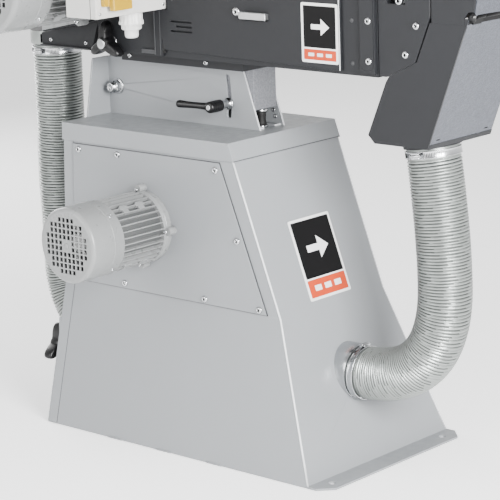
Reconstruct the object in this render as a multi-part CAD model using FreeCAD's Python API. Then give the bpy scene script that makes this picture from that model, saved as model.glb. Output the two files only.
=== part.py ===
import FreeCAD, Part
import math
import os

# Belt grinder on an extraction pedestal.
# Millimetres, +X towards the operator, -Y the motor side, +Z up.
# The origin is on the floor at the centre of the four anchor holes.

V = FreeCAD.Vector
AXIS = {"x": V(1, 0, 0), "y": V(0, 1, 0), "z": V(0, 0, 1)}
os.makedirs("parts", exist_ok=True)

# ---- driving dimensions ----
T = 3.0                      # pedestal sheet
PED_H = 600.0                # pedestal height
PED_W = 300.0                # pedestal width above the bend
PED_REAR, PED_FRONT = -310.0, 120.0      # top edges
FOOT_REAR, FOOT_FRONT = -341.0, 340.0    # bottom edges
FLARE = 58.0                 # each side's spread below the bend
KINK_Z = 285.0               # height of the bend
SKIRT = 34.0                 # lid skirt
FLANGE = 44.0                # floor flange
ANCHOR_X, ANCHOR_R = 360.0, 7.0
ANCHOR_Y_FRONT, ANCHOR_Y_REAR = 165.0, 115.0

DUCT_R = 49.35               # hose outside radius
DUCT_T = 3.0                 # hose wall, corrugations included
SPIGOT_T = 2.0
FRONT_DUCT_Z = 163.0
REAR_DUCT_Z = 121.0
FRONT_END_X = 340.0 - 220.0 / 600.0 * (FRONT_DUCT_Z - DUCT_R - 6.0)
FRONT_PATH = [(FRONT_END_X, FRONT_DUCT_Z), (400, FRONT_DUCT_Z), (495, 258), (497, 440), (473.4, 607)]
REAR_PATH = [(-478, 725), (-478, 585), (-484, 455), (-478, 325), (-480, 208),
             (-398, 121), (-300, 121)]

FAN_X, FAN_Z = -96.0, 421.0  # extraction fan axis
FAN_R = 71.0                 # fan motor cowl radius
FAN_SHAFT_R = 9.5

PIVOT_X, PIVOT_Z = -282.0, 656.0
PIVOT_R = 8.0
STUD_X, STUD_Z, STUD_R = 13.0, 646.0, 5.0
CRADLE_T = 4.0
CRADLE_Y0, CRADLE_Y1 = -24.0, 48.0       # outer faces of the two plates
TILT_UP = 9.0                # degrees

HEAD_Y = 91.0                # half width of the head
SKIN = 5.0                   # backbone plate
DRIVE_X, DRIVE_Z, DRIVE_R = -290.0, 885.0, 85.0
WHEEL_X, WHEEL_Z, WHEEL_R = 500.0, 955.0, 125.0
DRIVE_SHAFT_R = 14.0
WHEEL_SHAFT_R = 15.0
BELT_W, BELT_T, BELT_GAP = 150.0, 1.4, 0.4
MOTOR_R = 90.0
RUN = 0.05                   # radial clearance of a running fit

DRAWER_X0, DRAWER_X1 = -236.0, 136.0


# ---- helpers ----
def box(x0, x1, y0, y1, z0, z1):
    return Part.makeBox(x1 - x0, y1 - y0, z1 - z0, V(x0, y0, z0))


def rod(axis, start, r, length):
    return Part.makeCylinder(r, length, V(*start), AXIS[axis])


def ring(axis, start, r_out, r_in, length):
    return rod(axis, start, r_out, length).cut(rod(axis, start, r_in, length))


def fuse(shapes):
    shapes = list(shapes)
    out = shapes[0]
    if len(shapes) > 1:
        out = out.multiFuse(shapes[1:]).removeSplitter()
    return out


def cut(shape, tools):
    tools = list(tools)
    return shape.cut(tools[0] if len(tools) == 1 else Part.makeCompound(tools))


def prism_xz(points, y0, y1):
    loop = [V(x, y0, z) for x, z in points]
    face = Part.Face(Part.makePolygon(loop + loop[:1]))
    return face.extrude(V(0, y1 - y0, 0))


def prism_yz(points, x0, x1):
    loop = [V(x0, y, z) for y, z in points]
    face = Part.Face(Part.makePolygon(loop + loop[:1]))
    return face.extrude(V(x1 - x0, 0, 0))


def inset(points, distances):
    """Moves each edge of a counter-clockwise polygon inwards by its own distance."""
    n = len(points)
    if not isinstance(distances, (list, tuple)):
        distances = [distances] * n
    lines = []
    for i in range(n):
        (x0, z0), (x1, z1) = points[i], points[(i + 1) % n]
        length = math.hypot(x1 - x0, z1 - z0)
        nx, nz = -(z1 - z0) / length, (x1 - x0) / length
        lines.append((nx, nz, nx * x0 + nz * z0 + distances[i]))
    out = []
    for i in range(n):
        a, b = lines[i - 1], lines[i]
        det = a[0] * b[1] - a[1] * b[0]
        out.append(((a[2] * b[1] - a[1] * b[2]) / det, (a[0] * b[2] - a[2] * b[0]) / det))
    return out


def tube_along(points, r_out, r_in, label):
    """Round tube on straight runs in the XZ plane, joined by tangent arcs."""
    p = [V(x, 0, z) for x, z in points]
    edges = []
    last = p[0]
    for i in range(1, len(p) - 1):
        before, after = p[i] - p[i - 1], p[i + 1] - p[i]
        turn = before.getAngle(after)
        reach = 0.45 * min(before.Length, after.Length)
        print(label, "bend", i, "radius %.1f" % (reach / math.tan(turn / 2)))
        u, w = V(before), V(after)
        u.normalize()
        w.normalize()
        a, b = p[i] - u * reach, p[i] + w * reach
        bisector = w - u
        bisector.normalize()
        radius = reach / math.tan(turn / 2)
        centre = p[i] + bisector * (radius / math.cos(turn / 2))
        middle = centre - bisector * radius
        edges.append(Part.makeLine(last, a))
        edges.append(Part.Arc(a, middle, b).toShape())
        last = b
    edges.append(Part.makeLine(last, p[-1]))
    spine = Part.Wire(edges)
    shapes = []
    start = p[1] - p[0]
    for r in (r_out, r_in):
        profile = Part.Wire(Part.Circle(p[0], start, r).toShape())
        shapes.append(spine.makePipeShell([profile], True, False))
    solid = shapes[0].cut(shapes[1])
    area = math.pi * (r_out ** 2 - r_in ** 2)
    print(label, "length %.1f volume ratio %.4f" % (spine.Length, solid.Volume / area / spine.Length))
    return solid


def export(name, shape):
    if isinstance(shape, (list, tuple)):
        shape = Part.makeCompound(list(shape))
    shape.exportStep("parts/%s.step" % name)


def head_screw(axis, point, sign, r=5.0, h=3.2):
    """Button head standing on a face, its flat side at the point."""
    start = list(point)
    i = "xyz".index(axis)
    if sign < 0:
        start[i] -= h
    body = rod(axis, start, r, h)
    socket = list(start)
    if sign > 0:
        socket[i] += h - 1.6
    return body.cut(rod(axis, socket, r * 0.42, 1.6))


def wall_line(z, z_ref, a, b):
    return a + (b - a) * (z_ref - z) / z_ref


def front_x(z):
    return wall_line(z, PED_H, PED_FRONT, FOOT_FRONT)


def rear_x(z):
    return wall_line(z, PED_H, PED_REAR, FOOT_REAR)


def side_y(z):
    return PED_W / 2 + max(0.0, FLARE * (KINK_Z - z) / KINK_Z)


# ---- pedestal shell ----
XZ = [(FOOT_REAR, 0), (FOOT_FRONT, 0), (PED_FRONT, PED_H), (PED_REAR, PED_H)]
YZ = [(-PED_W / 2 - FLARE, 0), (PED_W / 2 + FLARE, 0), (PED_W / 2, KINK_Z), (PED_W / 2, PED_H),
      (-PED_W / 2, PED_H), (-PED_W / 2, KINK_Z)]
FAR = 700.0
BIG = 60.0


def xz_body(rear, front, low=0.0, high=0.0):
    return prism_xz(inset(XZ, [low, front, high, rear]), -FAR, FAR)


def yz_body(side, low=0.0, high=0.0):
    return prism_yz(inset(YZ, [low, side, side, high, side, side]), -FAR, FAR)


outer_x = xz_body(0, 0, 0, T)
outer_y = yz_body(0, 0, T)
inner_x = xz_body(T, T, -BIG, -BIG)
inner_y = yz_body(T, -BIG, -BIG)
inside = inner_x.common(inner_y)
above_floor = box(-FAR, FAR, -FAR, FAR, 0, PED_H - T)

front_wall = outer_x.cut(xz_body(-BIG, T, -BIG, -BIG)).common(outer_y)
rear_wall = outer_x.cut(xz_body(T, -BIG, -BIG, -BIG)).common(outer_y)
sides = outer_y.cut(yz_body(T, -BIG, -BIG)).common(inner_x).common(above_floor)
near_side = sides.common(box(-FAR, FAR, -FAR, 0, -1, FAR))
far_side = sides.common(box(-FAR, FAR, 0, FAR, -1, FAR))

half = PED_W / 2 + FLARE
corner = 26.0


def floor_flange(x_in, x_out, half, hole_y):
    s = 1 if x_out > x_in else -1
    pts = [(x_in, -half), (x_out - s * corner, -half), (x_out, -half + corner),
           (x_out, half - corner), (x_out - s * corner, half), (x_in, half)]
    loop = [V(x, y, 0) for x, y in pts]
    plate = Part.Face(Part.makePolygon(loop + loop[:1])).extrude(V(0, 0, 4))
    holes = [rod("z", (s * ANCHOR_X, y, -1), ANCHOR_R, 8) for y in (-hole_y, hole_y)]
    return cut(plate, holes)


front_duct_hole = rod("x", (200, 0, FRONT_DUCT_Z), DUCT_R - DUCT_T, 200)
front_wall = fuse([front_wall, floor_flange(FOOT_FRONT - 2.5, FOOT_FRONT + FLANGE, half, ANCHOR_Y_FRONT)])
front_wall = front_wall.cut(front_duct_hole)
rear_wall = fuse([rear_wall, floor_flange(FOOT_REAR + 2.5, FOOT_REAR - FLANGE, half - 56, ANCHOR_Y_REAR)])
KNOB_Z = 146.0
low = REAR_DUCT_Z - DUCT_R - SPIGOT_T - 1
hatch_window = box(-380, -250, -140, 140, low - 3, 194)
exhaust = [box(-380, -250, -PED_W / 2 + 12, -PED_W / 2 + 58, z, z + 7) for z in range(488, 536, 14)]
rear_wall = cut(rear_wall, [hatch_window] + exhaust +
                [rod("x", (-380, y, KNOB_Z), 4.6, 100) for y in (-150, 150)])

PANEL = [(-298, 289), (204, 289), (99, 561), (-285, 561)]
opening = prism_xz(inset(PANEL, 18), -PED_W / 2 - 20, -PED_W / 2 + 10)
PANEL_SCREWS = [(-269, 551), (-163, 551), (90, 547), (138, 420), (187, 297), (51, 298), (-159, 299)]
near_side = near_side.cut(opening)
drawer_hole = box(DRAWER_X0 - 4, DRAWER_X1 + 4, 150, 260, 6, 104)
far_side = far_side.cut(drawer_hole)
motor_panel = prism_xz(PANEL, -PED_W / 2 - T, -PED_W / 2)
motor_panel = motor_panel.cut(rod("y", (FAN_X, -PED_W / 2 - 10, FAN_Z), 40, 20))

lid = prism_xz(inset(XZ, [0, -T, 0, -T]), -PED_W / 2 - T, PED_W / 2 + T)
lid = lid.common(box(-FAR, FAR, -FAR, FAR, PED_H - SKIRT, PED_H))
lid = lid.cut(outer_x.common(outer_y))

base_floor = inside.common(box(-FAR, FAR, -FAR, FAR, 8, 11))
bearer = inside.common(box(-15, 15, -FAR, FAR, 0, 9))  # flat bar under the floor, standing on the ground
shelf = inside.common(box(-FAR, FAR, -FAR, FAR, 300, 303)).cut(box(-190, 50, -50, 130, 290, 310))
export("base_front_wall", front_wall)
export("base_rear_wall", rear_wall)
export("base_near_side", near_side)
export("base_far_side", far_side)
export("base_lid", lid)
export("base_decks", [fuse([base_floor, bearer]), shelf])
export("motor_panel", motor_panel)

# Filter cassette: a frame round a pleated block, standing on the shelf over its window
pleats = [(-196, 306)]
for i in range(12):
    pleats += [(-196 + 20 * i + 12, 430 if i % 2 == 0 else 318)]
frame_low = box(-206, 66, -66, 146, 303, 315).cut(box(-190, 50, -50, 130, 300, 320))
frame_top = box(-206, 66, -66, 146, 428, 440)
panes = [box(-190 + 20 * i, -182 + 20 * i, -50, 130, 309, 432) for i in range(12)]
walls = [box(-206, 66, -66, -60, 310, 430), box(-206, 66, 140, 146, 310, 430)]
export("filter_cassette", fuse([frame_low, frame_top] + panes + walls))

# ---- rear hatch, its socket, and the two captive knobs ----
hatch = prism_xz([(rear_x(low - 15) - T, low - 15), (rear_x(low - 15), low - 15), (rear_x(208), 208),
                  (rear_x(208) - T, 208)], -170, 170)
socket_r = DUCT_R + SPIGOT_T + 1
hatch = cut(hatch, [rod("x", (-360, 0, REAR_DUCT_Z), socket_r, 60)] +
            [rod("x", (-360, y, KNOB_Z), 4 + RUN, 60) for y in (-150, 150)])
socket = ring("x", (-348, 0, REAR_DUCT_Z), socket_r, DUCT_R, 52)
export("rear_hatch", hatch)


def lobed_knob(axis, centre, sign, r, h, stud_r, stud_len):
    """Three-lobe knob: hub, three rounded arms, steel insert and its stud."""
    i = "xyz".index(axis)
    others = [k for k in range(3) if k != i]
    start = list(centre)
    if sign < 0:
        start[i] -= h
    solids = [rod(axis, start, r * 0.45, h)]
    for k in range(3):
        ang = math.radians(90 + 120 * k)
        tip = list(start)
        tip[others[0]] += 0.68 * r * math.cos(ang)
        tip[others[1]] += 0.68 * r * math.sin(ang)
        solids.append(rod(axis, tip, r * 0.32, h * 0.8))
        web = box(0, 0.7 * r, -0.24 * r, 0.24 * r, 0, h * 0.7)
        web.rotate(V(0, 0, 0), V(0, 0, 1), math.degrees(ang))
        if axis == "y":
            web.rotate(V(0, 0, 0), V(1, 0, 0), 90)
            web.translate(V(start[0], start[1] + h * 0.7, start[2]))
        else:
            web.rotate(V(0, 0, 0), V(0, 0, 1), 90)
            web.rotate(V(0, 0, 0), V(0, 1, 0), 90)
            web.translate(V(*start))
        solids.append(web)
    stud = list(centre)
    if sign > 0:
        stud[i] -= stud_len
    solids.append(rod(axis, stud, stud_r, stud_len))
    return fuse(solids)


for name, y in (("hatch_knob_near", -150), ("hatch_knob_far", 150)):
    export(name, lobed_knob("x", (rear_x(KNOB_Z) - T - 5.0, y, KNOB_Z), -1, 44, 30, 4, 22))

# ---- ducts ----
export("front_hose", tube_along(FRONT_PATH, DUCT_R, DUCT_R - DUCT_T, "front hose"))
export("rear_hose", tube_along(REAR_PATH, DUCT_R, DUCT_R - DUCT_T, "rear hose"))
inner_r = DUCT_R - DUCT_T
sleeve = ring("x", (FRONT_END_X - 46, 0, FRONT_DUCT_Z), inner_r, inner_r - SPIGOT_T, 80)
collar = ring("x", (FRONT_END_X - 70, 0, FRONT_DUCT_Z), DUCT_R + 2, inner_r, 69)
collar = collar.common(xz_body(-FAR, -FAR, -FAR, -FAR).cut(xz_body(-BIG, 0, -BIG, -BIG)))
export("base_spigots", [fuse([sleeve, collar]), socket])


def hose_clamp(axis, start, width, screw_side):
    """Band with a worm-screw housing standing on it."""
    band = ring(axis, start, DUCT_R + 1.4, DUCT_R, width)
    x, y, z = start
    if axis == "x":
        worm = box(x + 1, x + width - 1, -12, 12, z + DUCT_R + 0.7, z + DUCT_R + 8)
    else:
        worm = box(x - 12, x + 12, y - DUCT_R - 8, y - DUCT_R - 0.7, z + 1, z + width - 1)
        if screw_side > 0:
            worm.translate(V(0, 2 * DUCT_R + 8.7, 0))
    return fuse([band, worm.cut(rod(axis, (x, y, z), DUCT_R + 0.5, width))])


export("base_hose_clamps", hose_clamp("x", (FRONT_PATH[0][0] + 3, 0, FRONT_DUCT_Z), 13, 0))


# ---- motors: shield, finned housing, cowl and rotor on one axis along -Y ----
def motor(x, z, y0, r, shield_t, body_len, cowl_len, shaft_r, fins, pitch, field_r):
    r_fin, r_core = r - 2.0, r - 9.0
    y1 = y0 - shield_t
    y2 = y1 - body_len
    y3 = y2 - cowl_len
    lugs = [rod("y", (x + (r + 3) * math.cos(a), y1 + 3, z + (r + 3) * math.sin(a)), 7.5, shield_t - 3)
            for a in (0, math.pi / 2, math.pi, 1.5 * math.pi)]
    shield = fuse([rod("y", (x, y1, z), r_fin, shield_t)] + lugs)
    shield = cut(shield, [rod("y", (x, y1 - 1, z), shaft_r + RUN, shield_t + 2)])
    blades = []
    for k in range(fins):
        blade = box(r_core - 2, r_fin, -1.1, 1.1, 0, body_len)
        blade.rotate(V(0, 0, 0), V(0, 0, 1), 360.0 * k / fins + 180.0 / fins)
        blades.append(blade)
    core = Part.makeCylinder(r_core, body_len)
    housing = core.multiFuse(blades).common(Part.makeCylinder(r_fin, body_len))
    housing.rotate(V(0, 0, 0), V(1, 0, 0), 90)
    housing.translate(V(x, y1, z))
    bore = r_core - 14
    housing = cut(housing, [rod("y", (x, y2 + 8, z), bore, body_len),
                            rod("y", (x, y2 - 1, z), shaft_r + RUN, 20)])
    cowl = rod("y", (x, y3, z), r, cowl_len + 8)
    rim = [e for e in cowl.Edges if e.Closed and abs(e.CenterOfMass.y - y3) < 0.01]
    cowl = cowl.makeFillet(0.11 * r, rim)
    hollow = rod("y", (x, y3 + 2.5, z), r_fin, cowl_len + 8)
    rim = [e for e in hollow.Edges if e.Closed and abs(e.CenterOfMass.y - y3 - 2.5) < 0.01]
    cowl = cowl.cut(hollow.makeFillet(0.10 * r, rim))
    holes = []
    n = int(field_r // pitch) + 1
    for i in range(-n, n):
        for j in range(-n, n):
            cx, cz = (i + 0.5) * pitch, (j + 0.5) * pitch
            if pitch * 0.9 < math.hypot(cx, cz) < field_r:
                s = pitch * 0.37
                holes.append(box(x + cx - s, x + cx + s, y3 - 1, y3 + 4, z + cz - s, z + cz + s))
    cowl = cut(cowl, holes)
    rotor = [rod("y", (x, y2 + 12, z), bore - 0.8, body_len - 16),
             rod("y", (x, y2 - 40, z), shaft_r + 8, 26)]
    for k in range(7):
        blade = box(0, r * 0.72, -1.2, 1.2, 0, 24)
        blade.rotate(V(0, 0, 0), V(0, 0, 1), 360.0 * k / 7)
        blade.rotate(V(0, 0, 0), V(1, 0, 0), 90)
        blade.translate(V(x, y2 - 15, z))
        rotor.append(blade)
    return shield, housing, cowl, rotor, y2


FAN_FACE = -PED_W / 2 - T
shield, housing, cowl, rotor, fan_back = motor(
    FAN_X, FAN_Z, FAN_FACE, FAN_R, 20, 115, 72, FAN_SHAFT_R, 36, 10.8, 54.0)
export("fan_motor_shield", shield)
export("fan_motor_housing", housing)
export("fan_motor_cowl", cowl)
pad = box(-30, 30, -35, 35, FAN_R - 10.5, FAN_R + 14)
pad = fuse([pad, box(-33, 33, -38, 38, FAN_R + 14, FAN_R + 18)])
pad.rotate(V(0, 0, 0), V(0, 1, 0), -90)
pad.translate(V(FAN_X, FAN_FACE - 83, FAN_Z))
export("fan_terminal_box", max(pad.cut(housing).Solids, key=lambda part: part.Volume))
fan_shaft = fuse(rotor + [rod("y", (FAN_X, fan_back - 38, FAN_Z), FAN_SHAFT_R, 250)])
export("fan_shaft", fan_shaft)

hub_y = FAN_FACE + 12.0
impeller = [rod("y", (FAN_X, hub_y, FAN_Z), 98, 2.5), rod("y", (FAN_X, hub_y, FAN_Z), 22, 40),
            ring("y", (FAN_X, hub_y + 38, FAN_Z), 98, 62, 2.0)]
for k in range(12):
    blade = box(30, 96, -1.2, 1.2, 0, 39)
    blade.rotate(V(30, 0, 0), V(0, 0, 1), -28)
    blade.rotate(V(0, 0, 0), V(0, 0, 1), 30.0 * k)
    blade.rotate(V(0, 0, 0), V(1, 0, 0), 90)
    blade.translate(V(FAN_X, hub_y + 40, FAN_Z))
    impeller.append(blade)
impeller = fuse(impeller).cut(rod("y", (FAN_X, FAN_FACE + 3, FAN_Z), FAN_SHAFT_R, 80))
export("fan_impeller", impeller)

vol_y = FAN_FACE + T
volute = fuse([rod("y", (FAN_X, vol_y, FAN_Z), 111, 64),
               box(-255, FAN_X, vol_y, vol_y + 64, FAN_Z + 51, FAN_Z + 111)])
hollow = fuse([rod("y", (FAN_X, vol_y - 1, FAN_Z), 108.5, 62.5),
               box(-260, FAN_X, vol_y + 2.5, vol_y + 61.5, FAN_Z + 53.5, FAN_Z + 108.5)])
export("fan_volute", volute.cut(hollow).cut(rod("y", (FAN_X, vol_y + 50, FAN_Z), 58, 30)))

# ---- dust drawer ----
lean = FLARE / KINK_Z


def wall_far(z, gap):
    return PED_W / 2 + FLARE - lean * z + gap


tray_pts = [(-158, 11.5), (wall_far(11.5, 0.6), 11.5), (wall_far(96, 0.6), 96), (-158, 96)]
tray = prism_yz(tray_pts, DRAWER_X0, DRAWER_X1)
tray = tray.cut(prism_yz(inset(tray_pts, [2, 2, -20, 2]), DRAWER_X0 + 2, DRAWER_X1 - 2))
door_pts = [(wall_far(4, 0.6), 4), (wall_far(4, 3.6), 4), (wall_far(116, 3.6), 116), (wall_far(116, 0.6), 116)]
drawer_door = prism_yz(door_pts, DRAWER_X0 - 14, DRAWER_X1 + 14)
grip_y = wall_far(62, 3.0)
grip = [rod("y", (x, grip_y, 62), 5, 28) for x in (-110, 10)] + [rod("x", (-118, grip_y + 28, 62), 6, 136)]
export("dust_drawer", fuse([tray, drawer_door] + grip))

# ---- cradle ----
CRADLE = [(-312, PED_H), (88, PED_H), (49, 714), (-310, 714)]
stud_reach = math.hypot(STUD_X - PIVOT_X, STUD_Z - PIVOT_Z)
stud_angle = math.degrees(math.atan2(STUD_Z - PIVOT_Z, STUD_X - PIVOT_X))


def around_pivot(angle, reach):
    a = math.radians(angle)
    return PIVOT_X + reach * math.cos(a), PIVOT_Z + reach * math.sin(a)


def arc_slot(y0, y1, half_w, low, high):
    big = rod("y", (PIVOT_X, y0, PIVOT_Z), stud_reach + half_w, y1 - y0)
    big = big.cut(rod("y", (PIVOT_X, y0, PIVOT_Z), stud_reach - half_w, y1 - y0))
    wedge = [(PIVOT_X, PIVOT_Z), around_pivot(low, 400), around_pivot(high, 400)]
    ends = [rod("y", (around_pivot(a, stud_reach)[0], y0, around_pivot(a, stud_reach)[1]), half_w, y1 - y0)
            for a in (low, high)]
    return fuse([big.common(prism_xz(wedge, y0, y1))] + ends)


near_plate = prism_xz(CRADLE, CRADLE_Y0, CRADLE_Y0 + CRADLE_T)
near_wing = prism_yz([(CRADLE_Y0 - 63, PED_H), (CRADLE_Y0, PED_H), (CRADLE_Y0, 714), (CRADLE_Y0 - 41, 714)],
                     -312, -308)
near_foot = box(-298, 80, CRADLE_Y0 + CRADLE_T - 0.5, CRADLE_Y0 + CRADLE_T + 17, PED_H, PED_H + CRADLE_T)
far_plate = prism_xz(CRADLE, CRADLE_Y1 - CRADLE_T, CRADLE_Y1)
far_wing = prism_yz([(CRADLE_Y1, PED_H), (CRADLE_Y1 + 63, PED_H), (CRADLE_Y1 + 41, 714), (CRADLE_Y1, 714)],
                    -312, -308)
far_foot = box(-298, 80, CRADLE_Y1 - CRADLE_T - 17, CRADLE_Y1 - CRADLE_T + 0.5, PED_H, PED_H + CRADLE_T)
pivot_hole = rod("y", (PIVOT_X, -80, PIVOT_Z), PIVOT_R, 200)
slot = arc_slot(-40, 0, STUD_R + 0.4, stud_angle - 4.5, stud_angle + TILT_UP + 0.5)
export("cradle_plates", [cut(fuse([near_plate, near_wing, near_foot]), [pivot_hole, slot]),
                         fuse([far_plate, far_wing, far_foot]).cut(pivot_hole)])
bolt = fuse([rod("y", (PIVOT_X, CRADLE_Y0 - 4, PIVOT_Z), PIVOT_R, CRADLE_Y1 - CRADLE_Y0 + 22),
             rod("y", (PIVOT_X, CRADLE_Y0 - 4, PIVOT_Z), 15, 4),
             rod("y", (PIVOT_X, CRADLE_Y0 - 10, PIVOT_Z), 11, 6),
             rod("y", (PIVOT_X, CRADLE_Y0 - 26, PIVOT_Z), 12, 16),
             rod("y", (PIVOT_X, CRADLE_Y1, PIVOT_Z), 14, 3),
             rod("y", (PIVOT_X, CRADLE_Y1 + 3, PIVOT_Z), 12, 12)])
export("pivot_bolt", bolt.cut(rod("y", (PIVOT_X, CRADLE_Y0 - 27, PIVOT_Z), 6.5, 9)))
buffer = fuse([rod("z", (60, 12, PED_H), 13, 4), rod("z", (60, 12, PED_H + 4), 10, 26),
               rod("z", (60, 12, PED_H + 30), 13, 5.4)])
export("keel_buffer", buffer)

screws = [head_screw("y", (x, FAN_FACE, z), -1, 6.6, 3.4) for x, z in PANEL_SCREWS]
screws += [head_screw("z", (x, y, PED_H + CRADLE_T), 1, 5.2, 3.2)
           for x in (-250, -100, 40) for y in (CRADLE_Y0 + CRADLE_T + 9, CRADLE_Y1 - CRADLE_T - 9)]
screws += [head_screw("y", (x, CRADLE_Y1 - CRADLE_T, z), -1, 4.0, 2.4) for x, z in ((68, 616), (64, 628))]
export("base_screws", screws)

# Front label plate, bedded on the leaning front wall
slope = (FOOT_FRONT - PED_FRONT) / PED_H
plate = prism_xz([(front_x(298), 298), (front_x(298) + 1.2, 298), (front_x(443) + 1.2, 443), (front_x(443), 443)],
                 -58, 58)
export("front_label", plate)

# ---- head: keel, rail, backbone ----
keel = box(-308, 72, CRADLE_Y0 + CRADLE_T + 0.5, CRADLE_Y1 - CRADLE_T - 0.5, 636, 716)
keel = keel.cut(box(-304, 68, CRADLE_Y0 + CRADLE_T + 4.5, CRADLE_Y1 - CRADLE_T - 4.5, 640, 712))
bush = rod("y", (PIVOT_X, CRADLE_Y0 + CRADLE_T + 0.5, PIVOT_Z), 15, 63)
keel = fuse([keel, bush])
keel = cut(keel, [rod("y", (PIVOT_X, -60, PIVOT_Z), PIVOT_R + RUN, 160),
                  rod("y", (STUD_X, -30, STUD_Z), STUD_R + RUN, 20)])
rail = box(-233, 83, -60, 60, 716, 736).cut(box(-229, 79, -56, 56, 712, 732))
export("head_keel", fuse([keel, rail]))

LINE = lambda x: 755.0 + 0.2012 * (x + 457.0)
OUTLINE = [(-420, LINE(-420)), (-262, LINE(-262)), (-262, 736), (427, 736), (427, 1100), (-420, 1005)]
TOP = lambda x: 1005.0 + 95.0 * (x + 420.0) / 847.0
body = prism_xz(OUTLINE, -HEAD_Y, HEAD_Y - 3)
inner = prism_xz(inset(OUTLINE, [3, 3, 3, 3, 3, 3]), -HEAD_Y + SKIN, HEAD_Y + 5)
body = body.cut(inner)
body = cut(body, [box(-407, -297, -54, 54, 740, 800),
                  box(420, 430, -HEAD_Y + SKIN, HEAD_Y + 5, 800, 1120),
                  box(-60, 440, -HEAD_Y + SKIN, HEAD_Y + 5, 1030, 1120),
                  rod("y", (DRIVE_X, -100, DRIVE_Z), 40, 30),
                  rod("y", (-225, -100, 755), 4.9 + RUN, 20)])
hinge_z, hinge_x = TOP(-60) + 5, -60.0
KNUCKLE_R = 6.0
bearing = [box(-76, hinge_x, y0, y0 + 24, TOP(-68) - 3, hinge_z) for y0 in (-80, 50)]
bearing += [rod("y", (hinge_x, y0, hinge_z), KNUCKLE_R, 24) for y0 in (-80, 50)]
body = fuse([body] + bearing)
door_x, door_y = -427.0, HEAD_Y + 4.0
for z0 in (800, 940):
    leaf = box(door_x - 2, -420, HEAD_Y - 30, door_y - 2, z0, z0 + 20)
    body = fuse([body, leaf, rod("z", (door_x, door_y, z0), 5.0, 20)])
body = cut(body, [rod("z", (door_x, door_y, 780), 2.5 + RUN, 200),
                  rod("y", (hinge_x, -100, hinge_z), 3 + RUN, 200)])
export("head_backbone", body)

COVER = [(-81, 751), (347, 742), (347, 1079), (-70, 1032), (-70, 826), (-97, 826)]
cover = prism_xz(COVER, -HEAD_Y - 6, -HEAD_Y).cut(prism_xz(inset(COVER, 2), -HEAD_Y - 4, -HEAD_Y + 1))
louvres = [box(-62 + 14 * (i % 2), -8, -HEAD_Y - 7, -HEAD_Y - 3, 786 + 9 * i, 789 + 9 * i) for i in range(3)]
cover = cut(cover, louvres)
bar = fuse([box(120, 182, -HEAD_Y - 16, -HEAD_Y - 10, 822, 834), box(120, 132, -HEAD_Y - 11, -HEAD_Y - 6, 822, 834),
            box(170, 182, -HEAD_Y - 11, -HEAD_Y - 6, 822, 834)])
strip = prism_xz([(391, 742), (424, 742), (424, 1094), (391, 1090)], -HEAD_Y - 6, -HEAD_Y)
export("near_covers", [fuse([cover, bar]), strip])

ARM = [(429, 738.5), (445.3, 738.5), (507.2, 767.6), (540, 847), (541, 990), (510, 1015), (429, 1015)]
arm = prism_xz(ARM, -HEAD_Y, -HEAD_Y + 15)
arm = fuse([arm, box(330, 430, -HEAD_Y + SKIN, -HEAD_Y + 15, 905, 1000),
            rod("y", (WHEEL_X, -HEAD_Y - 22, WHEEL_Z), 32, 37)])
arm = cut(arm, [rod("y", (WHEEL_X, -130, WHEEL_Z), WHEEL_SHAFT_R + RUN, 70), box(448, 488, -92, -70, 866, 877)])
export("contact_arm", arm)

run_angle = math.atan2(WHEEL_Z - DRIVE_Z, WHEEL_X - DRIVE_X)


def belt_loop(extra, y0, y1):
    """Solid inside a belt line standing off both wheels by the same distance."""
    r1, r2 = DRIVE_R + extra, WHEEL_R + extra
    dist = math.hypot(WHEEL_X - DRIVE_X, WHEEL_Z - DRIVE_Z)
    spread = math.acos((r1 - r2) / dist)
    pts = {}
    for name, (cx, cz, r) in (("d", (DRIVE_X, DRIVE_Z, r1)), ("w", (WHEEL_X, WHEEL_Z, r2))):
        for side, s in (("top", 1), ("low", -1)):
            a = run_angle + s * spread
            pts[name + side] = V(cx + r * math.cos(a), y0, cz + r * math.sin(a))
    back = V(DRIVE_X - r1 * math.cos(run_angle), y0, DRIVE_Z - r1 * math.sin(run_angle))
    nose = V(WHEEL_X + r2 * math.cos(run_angle), y0, WHEEL_Z + r2 * math.sin(run_angle))
    edges = [Part.makeLine(pts["dtop"], pts["wtop"]),
             Part.Arc(pts["wtop"], nose, pts["wlow"]).toShape(),
             Part.makeLine(pts["wlow"], pts["dlow"]),
             Part.Arc(pts["dlow"], back, pts["dtop"]).toShape()]
    return Part.Face(Part.Wire(edges)).extrude(V(0, y1 - y0, 0)), pts


outer_loop, pts = belt_loop(BELT_GAP + BELT_T, -BELT_W / 2, BELT_W / 2)
inner_loop, pts = belt_loop(BELT_GAP, -BELT_W / 2, BELT_W / 2)
export("abrasive_belt", outer_loop.cut(inner_loop))

top_run = pts["wtop"] - pts["dtop"]
top_dir = math.degrees(math.atan2(top_run.z, top_run.x))
platen = box(300, 620, -HEAD_Y + SKIN, 75, -9, -1)
platen = fuse([platen, box(300, 620, -HEAD_Y + SKIN, -HEAD_Y + SKIN + 6, -60, -1),
               box(450, 456, -HEAD_Y + SKIN, 60, -60, -8)])
platen.rotate(V(0, 0, 0), V(0, 1, 0), -top_dir)
platen.translate(V(pts["dtop"].x, 0, pts["dtop"].z))
export("platen", platen)

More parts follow.
